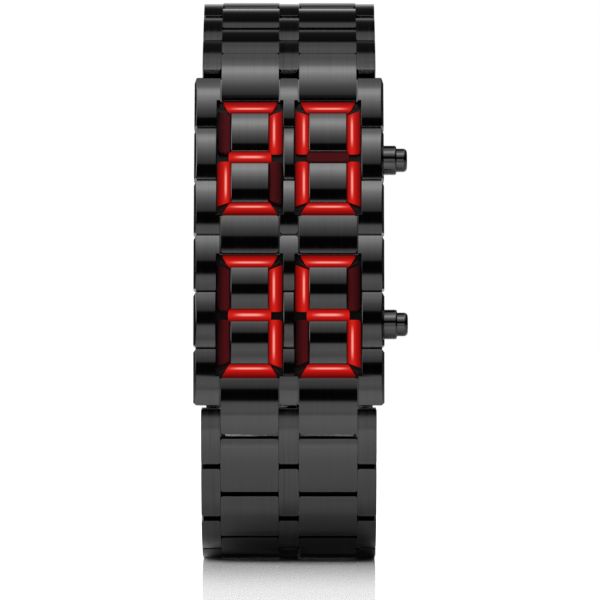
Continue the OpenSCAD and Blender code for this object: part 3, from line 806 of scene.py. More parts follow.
@dataclass(frozen=True)
class Moulded:
    """A moulded plastic or rubber: even colour with a fine grain from the mould."""

    name: str
    colour: str
    shade: str
    roughness: float
    grain_mm: float
    relief: float
    specular: float = 0.5
    spread: Pair = (0.35, 0.65)
    uneven: float = 0.15

    def make(self) -> bpy.types.Material:
        """Builds the material.

        Returns:
            The material.
        """
        material, tree, output = new_material(self.name)
        place = add_node(tree, "ShaderNodeTexCoord").outputs["Object"]
        grain = add_node(
            tree, "ShaderNodeTexNoise", {"Scale": 1 / (self.grain_mm * MM), "Detail": 2.0}, {"Vector": place}
        ).outputs["Fac"]
        ramp = add_node(tree, "ShaderNodeValToRGB", links={"Fac": grain})
        fill_ramp(ramp, [(self.spread[0], linear(self.shade)), (self.spread[1], linear(self.colour))])
        rough = add_node(
            tree, "ShaderNodeMapRange",
            {"To Min": self.roughness * (1 - self.uneven), "To Max": self.roughness * (1 + self.uneven)},
            {"Value": grain},
        )
        bump = add_node(
            tree, "ShaderNodeBump", {"Strength": self.relief, "Distance": BUMP_DEPTH}, {"Height": grain}
        )
        shader = add_node(
            tree, "ShaderNodeBsdfPrincipled", {"Specular IOR Level": self.specular},
            {
                "Base Color": ramp.outputs["Color"], "Roughness": rough.outputs["Result"],
                "Normal": bump.outputs["Normal"],
            },
        )
        tree.links.new(shader.outputs["BSDF"], output.inputs["Surface"])
        return material


@dataclass(frozen=True)
class LitAcrylic:
    """Clear red acrylic with a light chip behind it: red with a hot streak, darker at its outer edge.

    The bar's own UV map gives the place: u from its inner side to its outer side, v along it.
    """

    name: str = "lit_red_acrylic_moulded"
    base: str = "#0C0101"
    edge: str = "#640606"
    body: str = "#AC100C"
    glow: str = "#CE1E18"
    streak: str = "#FF9E92"
    power: float = 1.0
    roughness: float = 0.35

    def make(self) -> bpy.types.Material:
        """Builds the material.

        Returns:
            The material.
        """
        material, tree, output = new_material(self.name)
        uv = add_node(tree, "ShaderNodeUVMap", {"uv_map": BAR_UV}).outputs["UV"]
        parts = add_node(tree, "ShaderNodeSeparateXYZ", links={"Vector": uv})
        across = add_node(tree, "ShaderNodeValToRGB", links={"Fac": parts.outputs["X"]})
        edge, body, glow = linear(self.edge), linear(self.body), linear(self.glow)
        fill_ramp(across, [(0.0, edge), (0.12, body), (0.3, glow), (0.48, glow), (0.68, body), (1.0, edge)])
        line = add_node(tree, "ShaderNodeValToRGB", links={"Fac": parts.outputs["X"]})
        streak = [(-0.12, DARK), (-0.02, BRIGHT), (0.02, BRIGHT), (0.12, DARK)]
        fill_ramp(line, [(HOT_LINE + shift, value) for shift, value in streak], "EASE")
        ends = add_node(tree, "ShaderNodeValToRGB", links={"Fac": parts.outputs["Y"]})
        fill_ramp(ends, [(0.08, DARK), (0.38, BRIGHT), (0.62, BRIGHT), (0.92, DARK)], "EASE")
        both = add_node(
            tree, "ShaderNodeMath", {"operation": "MULTIPLY"},
            {0: line.outputs["Color"], 1: ends.outputs["Color"]},
        )
        colour = add_node(
            tree, "ShaderNodeMix", {"data_type": "RGBA", 7: linear(self.streak)},
            {0: both.outputs["Value"], 6: across.outputs["Color"]},
        ).outputs[2]
        shader = add_node(
            tree, "ShaderNodeBsdfPrincipled",
            {
                "Base Color": linear(self.base), "Roughness": self.roughness, "IOR": ACRYLIC_IOR,
                "Specular IOR Level": BAR_SPECULAR, "Emission Strength": self.power,
            },
            {"Emission Color": colour},
        )
        tree.links.new(shader.outputs["BSDF"], output.inputs["Surface"])
        return material


@dataclass(frozen=True)
class DarkAcrylic:
    """The same clear red acrylic with no light behind it: a deep maroon with a soft moulded surface, painted
    darker at both edges of each bar as shade, and darker towards its outer side than its inner.
    """

    name: str = "unlit_red_acrylic_moulded"
    # The edge colour is painted shade along both edges of each bar
    edge: str = "#0E0405"
    middle: str = "#2A090B"
    body: str = "#3E0D10"
    roughness: float = 0.3

    def make(self) -> bpy.types.Material:
        """Builds the material.

        Returns:
            The material.
        """
        material, tree, output = new_material(self.name)
        uv = add_node(tree, "ShaderNodeUVMap", {"uv_map": BAR_UV}).outputs["UV"]
        across = add_node(tree, "ShaderNodeSeparateXYZ", links={"Vector": uv}).outputs["X"]
        ramp = add_node(tree, "ShaderNodeValToRGB", links={"Fac": across})
        edge, middle, body = linear(self.edge), linear(self.middle), linear(self.body)
        fill_ramp(ramp, [(0.0, edge), (0.15, body), (0.4, body), (0.75, middle), (1.0, edge)])
        shader = add_node(
            tree, "ShaderNodeBsdfPrincipled",
            {"Roughness": self.roughness, "IOR": ACRYLIC_IOR, "Specular IOR Level": BAR_SPECULAR},
            {"Base Color": ramp.outputs["Color"]},
        )
        tree.links.new(shader.outputs["BSDF"], output.inputs["Surface"])
        return material


class Finish(Enum):
    """Every finish of the watch, each under a comment on what the eye gets from it."""

    # Steel polished and then plated black: near black faces that mirror the light with soft edges
    BLACK_STEEL = Steel("black_plated_steel_polished", "#3C3C3C", "#383838", (0.07, 0.11), 0.02)
    # Steel brushed along the band and then plated black: the same black, with fine streaks and less shine
    BLACK_BRUSHED = Steel("black_plated_steel_brushed", "#3E3E3E", "#343434", (0.10, 0.17), 0.08)
    # Bare stainless steel, brushed: light grey and satin, with streaks that show
    BRIGHT_STEEL = Steel("stainless_steel_brushed", "#C4C4C8", "#9C9CA2", (0.22, 0.38), 0.35)
    # Drawn steel plated with nickel: smooth and a little warm
    CELL_CAN = Steel("nickel_plated_steel_drawn", "#C9C7C0", "#B5B3AC", (0.15, 0.25), 0.05, 0.5)
    # Spring bronze plated with gold: a bright warm yellow
    GOLD = Steel("gold_plated_bronze_stamped", "#D8A850", "#C49440", (0.12, 0.22), 0.05, 0.3)
    # ABS moulded in black: even and matt, with a fine grain
    BLACK_PLASTIC = Moulded("black_abs_moulded", "#1B1B1D", "#131315", 0.5, 0.25, 0.15)
    # Polycarbonate moulded in black with a satin face: nearly no gloss, so it stays darker than the steel
    WEB_BLACK = Moulded("black_polycarbonate_satin", "#0C0C0D", "#08080A", 0.35, 0.2, 0.1, 0.08)
    # The same plastic, polished on its ridges and coloured a lighter grey than the web: a thin grey glint
    # from the corners of the figures, partly from the polish and partly a painted highlight in the colour
    RIB_BLACK = Moulded("black_polycarbonate_polished_painted_glint", "#2A2A2B", "#222223", 0.2, 0.2, 0.05, 0.5)
    # ABS moulded in white, which throws the chips' light forward: creamy white and softly glossy
    WHITE_PLASTIC = Moulded("white_abs_moulded", "#E9E7E0", "#DAD8D0", 0.45, 0.3, 0.1)
    # Moulded nitrile rubber: dull black with a slight bloom
    RUBBER = Moulded("black_nitrile_rubber_moulded", "#1A1A1A", "#101010", 0.75, 0.15, 0.3)
    # Glass-fibre board under solder lacquer: deep green and glossy
    BOARD = Moulded("green_solder_lacquer", "#12502C", "#0B3D20", 0.3, 0.4, 0.1)
    # Cast epoxy over the light chips: milky yellow and glossy
    LED = Moulded("yellow_epoxy_cast", "#EAD9A0", "#DCC887", 0.3, 0.2, 0.05)
    # Clear red acrylic with a chip lit behind it, and with none lit
    LIT = LitAcrylic()
    UNLIT = DarkAcrylic()


class Figure(Enum):
    """Which of the seven bars of each figure are lit: top, middle, bottom, then the uprights."""

    TWO = ("top", "middle", "bottom", "upper_right", "lower_left")
    ZERO = ("top", "bottom", "upper_left", "upper_right", "lower_left", "lower_right")
    THREE = ("top", "middle", "bottom", "upper_right", "lower_right")
    FIVE = ("top", "middle", "bottom", "upper_left", "lower_right")


@dataclass
class Workshop:
    """Holds the finished materials and puts finished pieces in their place."""

    materials: dict[Finish, bpy.types.Material] = field(default_factory=dict)
    pieces: int = 0

    def material_of(self, finish: Finish) -> bpy.types.Material:
        """The material of a finish, made when first asked for.

        Args:
            finish: The finish.

        Returns:
            Its material.
        """
        if finish not in self.materials:
            self.materials[finish] = finish.value.make()
        return self.materials[finish]

    def set_finish(self, obj: bpy.types.Object, finish: Finish) -> None:
        """Gives an object its finish alone."""
        obj.data.materials.clear()
        obj.data.materials.append(self.material_of(finish))

    def deliver(
        self, obj: bpy.types.Object, name: str, body: str, slot: str, finish: Finish, matrix: Matrix,
        node: str,
    ) -> None:
        """Brings a finished piece to the shared frame and ties it to its body.

        Args:
            obj: The piece, in local millimetres.
            name: Its name.
            body: The CAD body that it rides on.
            slot: The record's material slot; not used.
            finish: Its finish.
            matrix: Its local frame.
            node: The CAD node that it stands for.
        """
        obj.name = name
        obj.data.name = name
        obj.data.transform(matrix)
        obj.data.update()
        self.set_finish(obj, finish)
        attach(obj, body)
        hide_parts(node)
        self.pieces += 1
        log.info("%s on %s: %d faces", name, body, len(obj.data.polygons))

    def dress(self, node: str, finish: Finish) -> None:
        """Gives its finish to a CAD node that stays."""
        self.set_finish(frame["nodes"][node], finish)
        log.info("%s keeps its CAD shape", node)


# The band


class Link(Enum):
    """The kinds of link, of which the last two hold the clasp's spring bars."""

    WIDE = "wide"
    NARROW = "narrow"
    UPPER_LAST = "upper_last"
    LOWER_LAST = "lower_last"


@dataclass
class Band:
    """The links on both sides of the case: wide plate pairs and narrow plate triples on their pins."""

    shop: Workshop
    tip_r: float = 0.42
    corner: float = 0.28
    templates: dict[Link, bpy.types.Object] = field(default_factory=dict)

    def plates(self, columns: list[Pair], bores: list[Pair]) -> list[bpy.types.Object]:
        """The bored and rounded plates of one link.

        Args:
            columns: Both sides of each plate.
            bores: Place along the link and radius of each bore.

        Returns:
            The plates.
        """
        made = []
        for x0, x1 in columns:
            plate = PATTERN.plate("plate", x0, x1, PATTERN.shown_l, self.corner)
            reach = PATTERN.case_w
            cut(plate, *[rod("bore", r, -reach, reach, y) for y, r in bores])
            made.append(soften(plate, PATTERN.edge))
        return made

    def pin(self, y: float) -> bpy.types.Object:
        """One link pin with rounded ends."""
        half = PATTERN.band_w / 2 - PATTERN.pin_recess
        return soften(rod("pin", PATTERN.pin_r, -half, half, y), PATTERN.pin_r / 4, 2)

    def make_templates(self) -> None:
        """Models each kind of link once, about its own middle."""
        step = PATTERN.pin_step / 2
        turning, held = PATTERN.pin_r + PATTERN.run_fit, PATTERN.pin_r + PATTERN.press_fit
        bar = PATTERN.spring_bar_r + PATTERN.press_fit
        left, middle, right = PATTERN.narrow_columns
        wide = self.plates(PATTERN.wide_columns, [(-step, turning), (step, turning)])
        self.templates[Link.WIDE] = joined("wide_link", wide)
        narrow = self.plates([left, middle, right], [(-step, held), (step, held)])
        self.templates[Link.NARROW] = joined("narrow_link", [*narrow, self.pin(-step), self.pin(step)])
        last = self.plates(PATTERN.wide_columns, [(-step, turning), (step, bar)])
        self.templates[Link.UPPER_LAST] = joined("upper_last_link", last)
        last = self.plates([left, right], [(-step, self.tip_r), (step, held)])
        last += self.plates([middle], [(-step, bar), (step, held)])
        self.templates[Link.LOWER_LAST] = joined("lower_last_link", [*last, self.pin(step)])

    def kind_of(self, row: str, number: int, count: int) -> Link:
        """Which kind of link stands at a place.

        Args:
            row: upper or lower.
            number: The link's number from the case.
            count: How many links the row has.

        Returns:
            The kind of link.
        """
        if number == count:
            return Link.UPPER_LAST if row == "upper" else Link.LOWER_LAST
        return Link.NARROW if number % 2 == 1 else Link.WIDE

    def build(self) -> None:
        """Copies the links to their places between the pins."""
        self.make_templates()
        for row, pins in BAND_ROWS:
            count = len(pins) - 1
            for number in range(1, count + 1):
                near, far = pins[number - 1], pins[number]
                low, high = (near, far) if row == "upper" else (far, near)
                kind = self.kind_of(row, number, count)
                name = f"{row}_link_{number:02d}"
                polished = kind in (Link.WIDE, Link.UPPER_LAST)
                finish = Finish.BLACK_STEEL if polished else Finish.BLACK_BRUSHED
                link = copied(self.templates[kind], f"{name}_plates")
                place = local_frame((low + high) / 2, high - low)
                self.shop.deliver(link, f"{name}_plates", name, "band_steel", finish, place, name)
        for template in self.templates.values():
            bpy.data.objects.remove(template)


# The case


@dataclass
class Case:
    """The curved case with its plates, windows, mask and figures, and the module behind them."""

    shop: Workshop
    scallops: int = 6
    scallop_depth: float = 0.3
    scallop_cut: float = 0.35
    slope_rise: float = 0.1
    groove_depth: float = 0.8
    skin_t: float = 0.8
    side_wall: float = 1.45
    end_wall: float = 2.6
    end_slope: Pair = (1.6, 2.8)
    back_seat: float = -8.3
    middle_plate_l: float = 4.9
    window_extra: float = 1.4
    corner: float = 0.4
    core_edge: float = 0.18
    boss_r: float = 1.5
    boss_top: float = -4.6
    back_t: float = 0.8
    back_lap: float = 0.7
    back_corner: float = 2.4
    panel_rim: float = 1.1
    back_edge: float = 0.16
    panel_depth: float = 0.12
    panel_inset: float = 2.4
    panel_corner: float = 1.6
    screw_inset: Pair = (1.25, 1.4)
    screw_head_r: float = 1.0
    screw_head_t: float = 0.33
    screw_sink: float = 0.05
    screw_edge: float = 0.05
    screw_r: float = 0.6
    screw_l: float = 2.6
    screw_slot_w: float = 0.3
    screw_slot_floor: float = 0.25
    matrix: Matrix = field(init=False)

    def __post_init__(self) -> None:
        """Finds the case's frame from the band's first pins."""
        top, bottom = UPPER_PINS[0], LOWER_PINS[0]
        half_chord = (top - bottom).length / 2 / MM
        drop = PATTERN.curve_r - math.sqrt(PATTERN.curve_r**2 - half_chord**2)
        flat = local_frame((top + bottom) / 2, top - bottom)
        self.matrix = flat @ Matrix.Translation((0, 0, drop))

    @property
    def half_l(self) -> float:
        """Half of the case's length along its curve."""
        return self.scallops / 2 * PATTERN.pitch

    @property
    def core_r(self) -> float:
        """Radius of the core's front."""
        return PATTERN.crest_r - self.groove_depth

    @property
    def side_x(self) -> float:
        """Half of the core's width."""
        return PATTERN.case_w / 2 - self.scallop_depth

    @property
    def hollow_x(self) -> float:
        """Half of the hollow's width."""
        return self.side_x - self.side_wall

    @property
    def hollow_y(self) -> float:
        """Half of the hollow's length."""
        return self.half_l - self.end_wall - PATTERN.gap

    @property
    def screws(self) -> list[Pair]:
        """Where the four cover screws stand."""
        x, y = self.hollow_x - self.screw_inset[0], self.hollow_y - self.screw_inset[1]
        return [(sx * x, sy * y) for sx in (-1, 1) for sy in (-1, 1)]

    @property
    def window_w(self) -> float:
        """Width of a window."""
        return PATTERN.wide_w + self.window_extra

    @property
    def window_span(self) -> Pair:
        """Where the upper windows start and end along the case.

        Returns:
            Both places, from the middle of the case.
        """
        end_angle = (self.half_l - PATTERN.plate_l / 2) / PATTERN.curve_r
        end = PATTERN.curve_r * math.sin(end_angle) + PATTERN.gap / 2
        return (self.middle_plate_l + PATTERN.gap) / 2, end

    def on_arc(self, s: float) -> Matrix:
        """The matrix that moves a plate from the middle to a place s along the curve."""
        down = Matrix.Translation((0, 0, -PATTERN.curve_r))
        return down @ Matrix.Rotation(-s / PATTERN.curve_r, 4, "X") @ down.inverted()

    def window_cutters(self) -> list[bpy.types.Object]:
        """The four window openings, as shapes to cut with.

        Returns:
            The shapes.
        """
        start, end = self.window_span
        half = self.window_w / 2
        low = self.core_r - self.skin_t - PATTERN.curve_r - PATTERN.thickness
        made = []
        for x in (-PATTERN.wide_mid, PATTERN.wide_mid):
            for y0, y1 in ((start, end), (-end, -start)):
                made.append(block("window", (x - half, y0, low), (x + half, y1, DEEP)))
        return made

    def core(self) -> bpy.types.Object:
        """The hollow curved body under the plates.

        Returns:
            The body with its four screw bosses.
        """
        end_angle = (self.half_l - PATTERN.gap / 2) / PATTERN.curve_r
        centre = (0.0, -PATTERN.curve_r)
        degrees = math.degrees(end_angle)
        back_half = (PATTERN.curve_r + self.back_seat) * math.tan(end_angle)
        knee = back_half + self.end_slope[1] * math.tan(end_angle)
        outline = arc(centre, self.core_r, 90 - degrees, 90 + degrees, 48)
        knee_z, foot = self.back_seat + self.end_slope[1], back_half - self.end_slope[0]
        outline += [(-knee, knee_z), (-foot, self.back_seat), (foot, self.back_seat), (knee, knee_z)]
        body = prism("core", outline, -self.side_x, self.side_x)
        inner_x, inner_y = self.hollow_x, self.hollow_y
        skin = self.core_r - self.skin_t
        span = math.degrees(math.asin(inner_y / skin))
        room = arc(centre, skin, 90 - span, 90 + span, 32)
        room += [(-inner_y, self.back_seat - SPARE), (inner_y, self.back_seat - SPARE)]
        cut(body, prism("room", room, -inner_x, inner_x), *self.window_cutters())
        neck = Pushers.neck_r + PATTERN.press_fit
        for end in (-1, 1):
            y, z = end * Pushers.place_y, Pushers.place_z
            cut(body, rod("bore", neck, inner_x - SPARE, 2 * inner_x, y, z))
        boss_z = self.back_seat + PATTERN.run_fit
        bosses = [upright_rod("boss", self.boss_r, x, y, boss_z, self.boss_top) for x, y in self.screws]
        return joined("core", [soften(body, self.core_edge), *bosses])

    def scallop(self, side: int) -> bpy.types.Object:
        """One edge plate with its outer corners cut.

        Args:
            side: 1 on the right, -1 on the left.

        Returns:
            The plate, with its edges still sharp.
        """
        inner, outer, half = PATTERN.edge_x, PATTERN.case_w / 2, PATTERN.shown_l / 2
        c, top, rise = self.scallop_cut, PATTERN.thickness / 2, self.slope_rise
        body = prism("scallop", PATTERN.side_view(2 * half), inner, outer)
        plan = [(inner, -half), (outer - c, -half), (outer, c - half)]
        plan += [(x, -y) for x, y in reversed(plan)]
        keep_common(body, slab("plan", plan, -PATTERN.thickness, PATTERN.thickness))
        slope = [(outer, rise), (outer + SPARE, rise), (outer + SPARE, top + SPARE)]
        slope.append((outer - PATTERN.outer_edge, top + rise))
        chamfer = slab("chamfer", slope, -half - SPARE, half + SPARE)
        chamfer.data.transform(Matrix.Rotation(math.pi / 2, 4, "X"))
        cut(body, chamfer)
        if side < 0:
            mirrored = copied(body, "scallop", Matrix.Scale(-1, 4, (1, 0, 0)))
            bpy.data.objects.remove(body)
            return mirrored
        return body

    def plate_row(self, template: bpy.types.Object) -> list[bpy.types.Object]:
        """Copies of a plate along the curve, cut where the windows are.

        Args:
            template: The plate at the middle of the case.

        Returns:
            The plates.
        """
        made = []
        for i in range(self.scallops):
            plate = copied(template, "plate", self.on_arc((i + 0.5) * PATTERN.pitch - self.half_l))
            cut(plate, *self.window_cutters())
            made.append(soften(plate, PATTERN.edge))
        bpy.data.objects.remove(template)
        return made

    def plates(self) -> list[bpy.types.Object]:
        """All the plates on the front of the case.

        Returns:
            The plates.
        """
        made = [plate for side in (-1, 1) for plate in self.plate_row(self.scallop(side))]
        half = PATTERN.narrow_w / 2
        made += self.plate_row(PATTERN.plate("centre", -half, half, PATTERN.shown_l, self.corner))
        for x0, x1 in PATTERN.wide_columns:
            middle = PATTERN.plate("middle", x0, x1, self.middle_plate_l, self.corner)
            made.append(soften(middle, PATTERN.edge))
            end = PATTERN.plate("end", x0, x1, PATTERN.shown_l, self.corner)
            for side in (-1, 1):
                turning = PATTERN.pin_r + PATTERN.run_fit
                bore = rod("bore", turning, x0 - SPARE, x1 + SPARE, side * PATTERN.pin_step / 2)
                plate = cut(copied(end, "end"), bore)
                plate.data.transform(self.on_arc(side * self.half_l))
                made.append(soften(plate, PATTERN.edge))
            bpy.data.objects.remove(end)
        return made

    def deliver(self, obj: bpy.types.Object, name: str, slot: str, finish: Finish, node: str) -> None:
        """Delivers one piece that stays with the case.

        Args:
            obj: The piece.
            name: Its name.
            slot: The record's material slot.
            finish: Its finish.
            node: The CAD node that it stands for.
        """
        self.shop.deliver(obj, name, "case", slot, finish, self.matrix, node)

    def build_shell(self) -> None:
        """The case body: its core and its plates."""
        plates = joined("case_plates", self.plates())
        self.deliver(plates, "case_plates", "case_steel", Finish.BLACK_STEEL, "case_body")
        self.deliver(self.core(), "case_core", "case_steel", Finish.BLACK_STEEL, "case_body")

    def screw(self, x: float, y: float, face: float) -> bpy.types.Object:
        """One slotted screw of the back cover.

        Args:
            x: Its place across the case.
            y: Its place along the case.
            face: The height of the cover's outer face.

        Returns:
            The screw, rounded.
        """
        low, half = face + self.screw_sink, self.screw_slot_w / 2
        floor, reach = face + self.screw_slot_floor, 2 * self.screw_head_r
        head = upright_rod("screw", self.screw_head_r, x, y, low, low + self.screw_head_t)
        fused(head, upright_rod("thread", self.screw_r, x, y, floor + self.screw_sink, low + self.screw_l))
        cut(head, block("slot", (x - reach, y - half, face - SPARE), (x + reach, y + half, floor)))
        return soften(head, self.screw_edge, 2)

    def build_back(self) -> None:
        """The back cover with its shallow panel and its four slotted screws."""
        half_x, half_y = self.hollow_x + self.back_lap, self.hollow_y + self.back_lap
        face = self.back_seat - self.back_t
        cover = slab("back", rounded_box(half_x, half_y, self.back_corner, 10), face, self.back_seat)
        panel_x, panel_y = half_x - self.panel_rim, half_y - self.panel_rim - self.panel_inset
        panel = rounded_box(panel_x, panel_y, self.panel_corner, 8)
        cut(cover, slab("panel", panel, face - SPARE, face + self.panel_depth))
        seat_r = self.screw_head_r + PATTERN.press_fit
        for x, y in self.screws:
            cut(cover, upright_rod("seat", seat_r, x, y, face - SPARE, face + self.back_t / 2))
        screws = [self.screw(x, y, face) for x, y in self.screws]
        soften(cover, self.back_edge)
        self.deliver(cover, "back_cover", "bright_steel", Finish.BRIGHT_STEEL, "case_back")
        four = joined("screws", screws)
        self.deliver(four, "back_screws", "bright_steel", Finish.BRIGHT_STEEL, "case_back_screws")

    def build(self) -> None:
        """Builds the shell, the back, the figures and the pushers."""
        self.build_shell()
        self.build_back()
        Figures(self).build()
        Pushers(self).build()


@dataclass
class Figures:
    """The four figures: their islands and webs, and the lit and unlit bars of the lens."""

    case: Case
    upright_t: float = 1.72
    level_t: float = 1.55
    rim: float = 0.12
    corner_web: Pair = (0.65, 1.25)
    block_web: Pair = (0.1, 0.35)
    junction_h: float = 1.2
    bar_round: float = 0.45
    bar_reach: float = 0.3
    web_drop: float = 1.1
    bar_drop: float = 0.4
    mask_t: float = 0.55
    lens_t: float = 0.65
    seat_gap: float = 0.05
    sheet_room: Pair = (0.3, 0.15)
    hold: float = 0.02
    bar_grow: float = 0.03
    island_crown: float = 9.0
    island_edge: float = 0.12
    web_edge: float = 0.05
    bar_edge: float = 0.22
    notch_x: float = 9.25
    notch_half: float = 1.45
    rib_w: float = 0.42
    rib_h: float = 0.075

    @property
    def sheet_half(self) -> Pair:
        """Half of the width and half of the length of the sheets behind the front wall."""
        return self.case.hollow_x - self.sheet_room[0], self.case.hollow_y - self.sheet_room[1]

    @property
    def web_half(self) -> Pair:
        """Half of the width and half of the length of one window's web."""
        return self.case.window_w / 2 - self.hold, self.bars_l / 2 + self.rim - self.hold

    @property
    def bars_w(self) -> float:
        """Width over the bars of a figure."""
        return self.case.window_w - 2 * self.rim

    @property
    def bars_l(self) -> float:
        """Length over the bars of a figure."""
        start, end = self.case.window_span
        return end - start - 2 * self.rim

    @property
    def island_w(self) -> float:
        """Width of an island."""
        return self.bars_w - 2 * self.upright_t

    @property
    def island_l(self) -> float:
        """Length of an island."""
        return (self.bars_l - 3 * self.level_t) / 2

    @property
    def mask_r(self) -> float:
        """Radius of the mask's face behind the front wall."""
        return self.case.core_r - self.case.skin_t - self.seat_gap

    def surface(self, radius: float, y: float) -> float:
        """Height of a curved surface of the case at a place along it."""
        return math.sqrt(radius**2 - y**2) - PATTERN.curve_r

    def bar_plans(self, grow: float) -> dict[str, list[Pair]]:
        """The plan of each bar about the figure's own middle.

        Args:
            grow: How much wider each bar is made.

        Returns:
            The (x, y) points of each bar by name.
        """
        top = self.bars_l / 2
        outer = self.bars_w / 2 - self.corner_web[0] + 2 * grow
        inner = self.island_w / 2 + self.block_web[0] + 2 * grow
        low_y = top - self.level_t - grow
        level = [(-outer, top + grow), (-inner, low_y), (inner, low_y), (outer, top + grow)]
        plans = {"top": level, "bottom": [(x, -y) for x, y in level]}
        plans["middle"] = rounded_box(
            self.island_w / 2 + self.bar_reach + grow, self.level_t / 2 + grow, self.bar_round + grow
        )
        side, near = self.bars_w / 2 + grow, self.bars_w / 2 - self.upright_t - grow
        low, r = self.junction_h / 2 - grow, self.bar_round
        upright = [(near, top - self.level_t - self.block_web[1] + 2 * grow)]
        upright += arc((near + r, low + r), r, 180, 270, 6) + arc((side - r, low + r), r, 270, 360, 6)
        upright.append((side, top - self.corner_web[1] + 2 * grow))
        plans["upper_right"] = upright
        plans["upper_left"] = [(-x, y) for x, y in upright]
        plans["lower_right"] = [(x, -y) for x, y in upright]
        plans["lower_left"] = [(-x, -y) for x, y in upright]
        return plans

    def curved(self, name: str, r0: float, r1: float, low: Pair, high: Pair) -> bpy.types.Object:
        """A sheet that follows the case's curve.

        Args:
            name: The object's name.
            r0: Radius of its underside.
            r1: Radius of its face.
            low: Its lowest x and y.
            high: Its highest x and y.

        Returns:
            The sheet.
        """
        steps = 16
        ys = [low[1] + (high[1] - low[1]) * i / steps for i in range(steps + 1)]
        outline = [(y, self.surface(r1, y)) for y in reversed(ys)] + [(y, self.surface(r0, y)) for y in ys]
        return prism(name, outline, low[0], high[0])

    def island(self, x: float, y: float) -> bpy.types.Object:
        """One raised polished block with a crowned face.

        Args:
            x: Its middle across the case.
            y: Its middle along the case.

        Returns:
            The block, rounded.
        """
        half_w, half_l, steps = self.island_w / 2, self.island_l / 2, 16
        base = self.surface(self.mask_r, y) - self.mask_t / 2
        crest = self.surface(PATTERN.crest_r, y)
        lean = -math.asin(y / PATTERN.curve_r)
        outline = []
        for i in range(steps + 1):
            t = half_l - 2 * half_l * i / steps
            sag = self.island_crown - math.sqrt(self.island_crown**2 - t**2)
            outline.append((y + t, crest + t * math.tan(lean) - sag))
        outline += [(y - half_l, base), (y + half_l, base)]
        return soften(prism("island", outline, x - half_w, x + half_w), self.island_edge)

    def windows(self) -> list[tuple[float, float, Figure, str]]:
        """Middle, figure and lens of each window.

        Returns:
            The (x, y) middle, the figure and the lens of each window.
        """
        start, end = self.case.window_span
        x, y = PATTERN.wide_mid, (start + end) / 2
        return [
            (-x, y, Figure.TWO, "hours"), (x, y, Figure.ZERO, "hours"),
            (-x, -y, Figure.THREE, "minutes"), (x, -y, Figure.FIVE, "minutes"),
        ]

    def web(self, x: float, y: float) -> bpy.types.Object:
        """The dark floor of one window with a slot for each bar.

        Args:
            x: The window's middle across the case.
            y: The window's middle along the case.

        Returns:
            The web, rounded.
        """
        half_w, half_l = self.web_half
        low, high = (x - half_w, y - half_l), (x + half_w, y + half_l)
        pad = self.curved("web", self.mask_r - self.mask_t, PATTERN.crest_r - self.web_drop, low, high)
        for plan in self.bar_plans(self.bar_grow).values():
            cut(pad, slab("slot", [(x + px, y + py) for px, py in plan], -DEEP, DEEP))
        return soften(pad, self.web_edge, 2)

    def ribs(self, x: float, y: float) -> list[bpy.types.Object]:
        """The raised ridges of one window, from its corners to the corners of its islands.

        Args:
            x: The window's middle across the case.
            y: The window's middle along the case.

        Returns:
            The four ridges.
        """
        made = []
        half_w, half_l = self.bars_w / 2, self.bars_l / 2
        inner = (self.island_w / 2, half_l - self.level_t)
        outer = (half_w - self.corner_web[0] / 2, half_l - self.corner_web[1] / 2)
        length = math.dist(inner, outer)
        angle = math.atan2(outer[1] - inner[1], outer[0] - inner[0])
        r, h = self.rib_w / 2, self.rib_h
        for sx in (-1, 1):
            for sy in (-1, 1):
                rib = prism("rib", [(-r, -h), (r, -h), (0, h)], 0, length)
                rib.data.transform(Matrix.Rotation(angle, 4, "Z"))
                rib.data.transform(Matrix.Diagonal((sx, sy, 1, 1)))
                if sx * sy < 0:
                    rib.data.flip_normals()
                px, py = x + sx * inner[0], y + sy * inner[1]
                level = self.surface(PATTERN.crest_r - self.web_drop, py)
                lean = Matrix.Rotation(-math.asin(py / PATTERN.curve_r), 4, "X")
                rib.data.transform(Matrix.Translation((px, py, level)) @ lean)
                made.append(rib)
        return made

    def notches(self) -> list[bpy.types.Object]:
        """Room beside the sheets for the pushers' inner ends, as shapes to cut with.

        Returns:
            The shapes.
        """
        low, high = Pushers.place_y - self.notch_half, Pushers.place_y + self.notch_half
        spans = ((low, high), (-high, -low))
        return [block("notch", (self.notch_x, y0, -DEEP), (FAR, y1, DEEP)) for y0, y1 in spans]

    def sheet(self) -> bpy.types.Object:
        """The mask's thin sheet behind the front wall, open where the webs stand.

        Returns:
            The sheet.
        """
        half_w, half_l = self.sheet_half
        low, high = (-half_w, -half_l), (half_w, half_l)
        sheet = self.curved("sheet", self.mask_r - self.mask_t, self.mask_r, low, high)
        web_w, web_l = self.web_half
        for x, y, _, _ in self.windows():
            cut(sheet, block("opening", (x - web_w, y - web_l, -DEEP), (x + web_w, y + web_l, DEEP)))
        return cut(sheet, *self.notches())

    def bar(self, plan: list[Pair], x: float, y: float) -> bpy.types.Object:
        """One red bar with a rounded face and its own UV map.

        Args:
            plan: Its outline about the figure's middle.
            x: The figure's middle across the case.
            y: The figure's middle along the case.

        Returns:
            The bar.
        """
        low = self.mask_r - self.mask_t - self.seat_gap - self.lens_t / 2
        xs, ys = [x + px for px, _ in plan], [y + py for _, py in plan]
        body = slab("bar", list(zip(xs, ys)), -DEEP, DEEP)
        corners = (min(xs) - SPARE, min(ys) - SPARE), (max(xs) + SPARE, max(ys) + SPARE)
        keep_common(body, self.curved("sheet", low, PATTERN.crest_r - self.bar_drop, *corners))
        soften(body, self.bar_edge)
        self.map_bar(body, (min(xs), max(xs)), (min(ys), max(ys)), x, y)
        return body

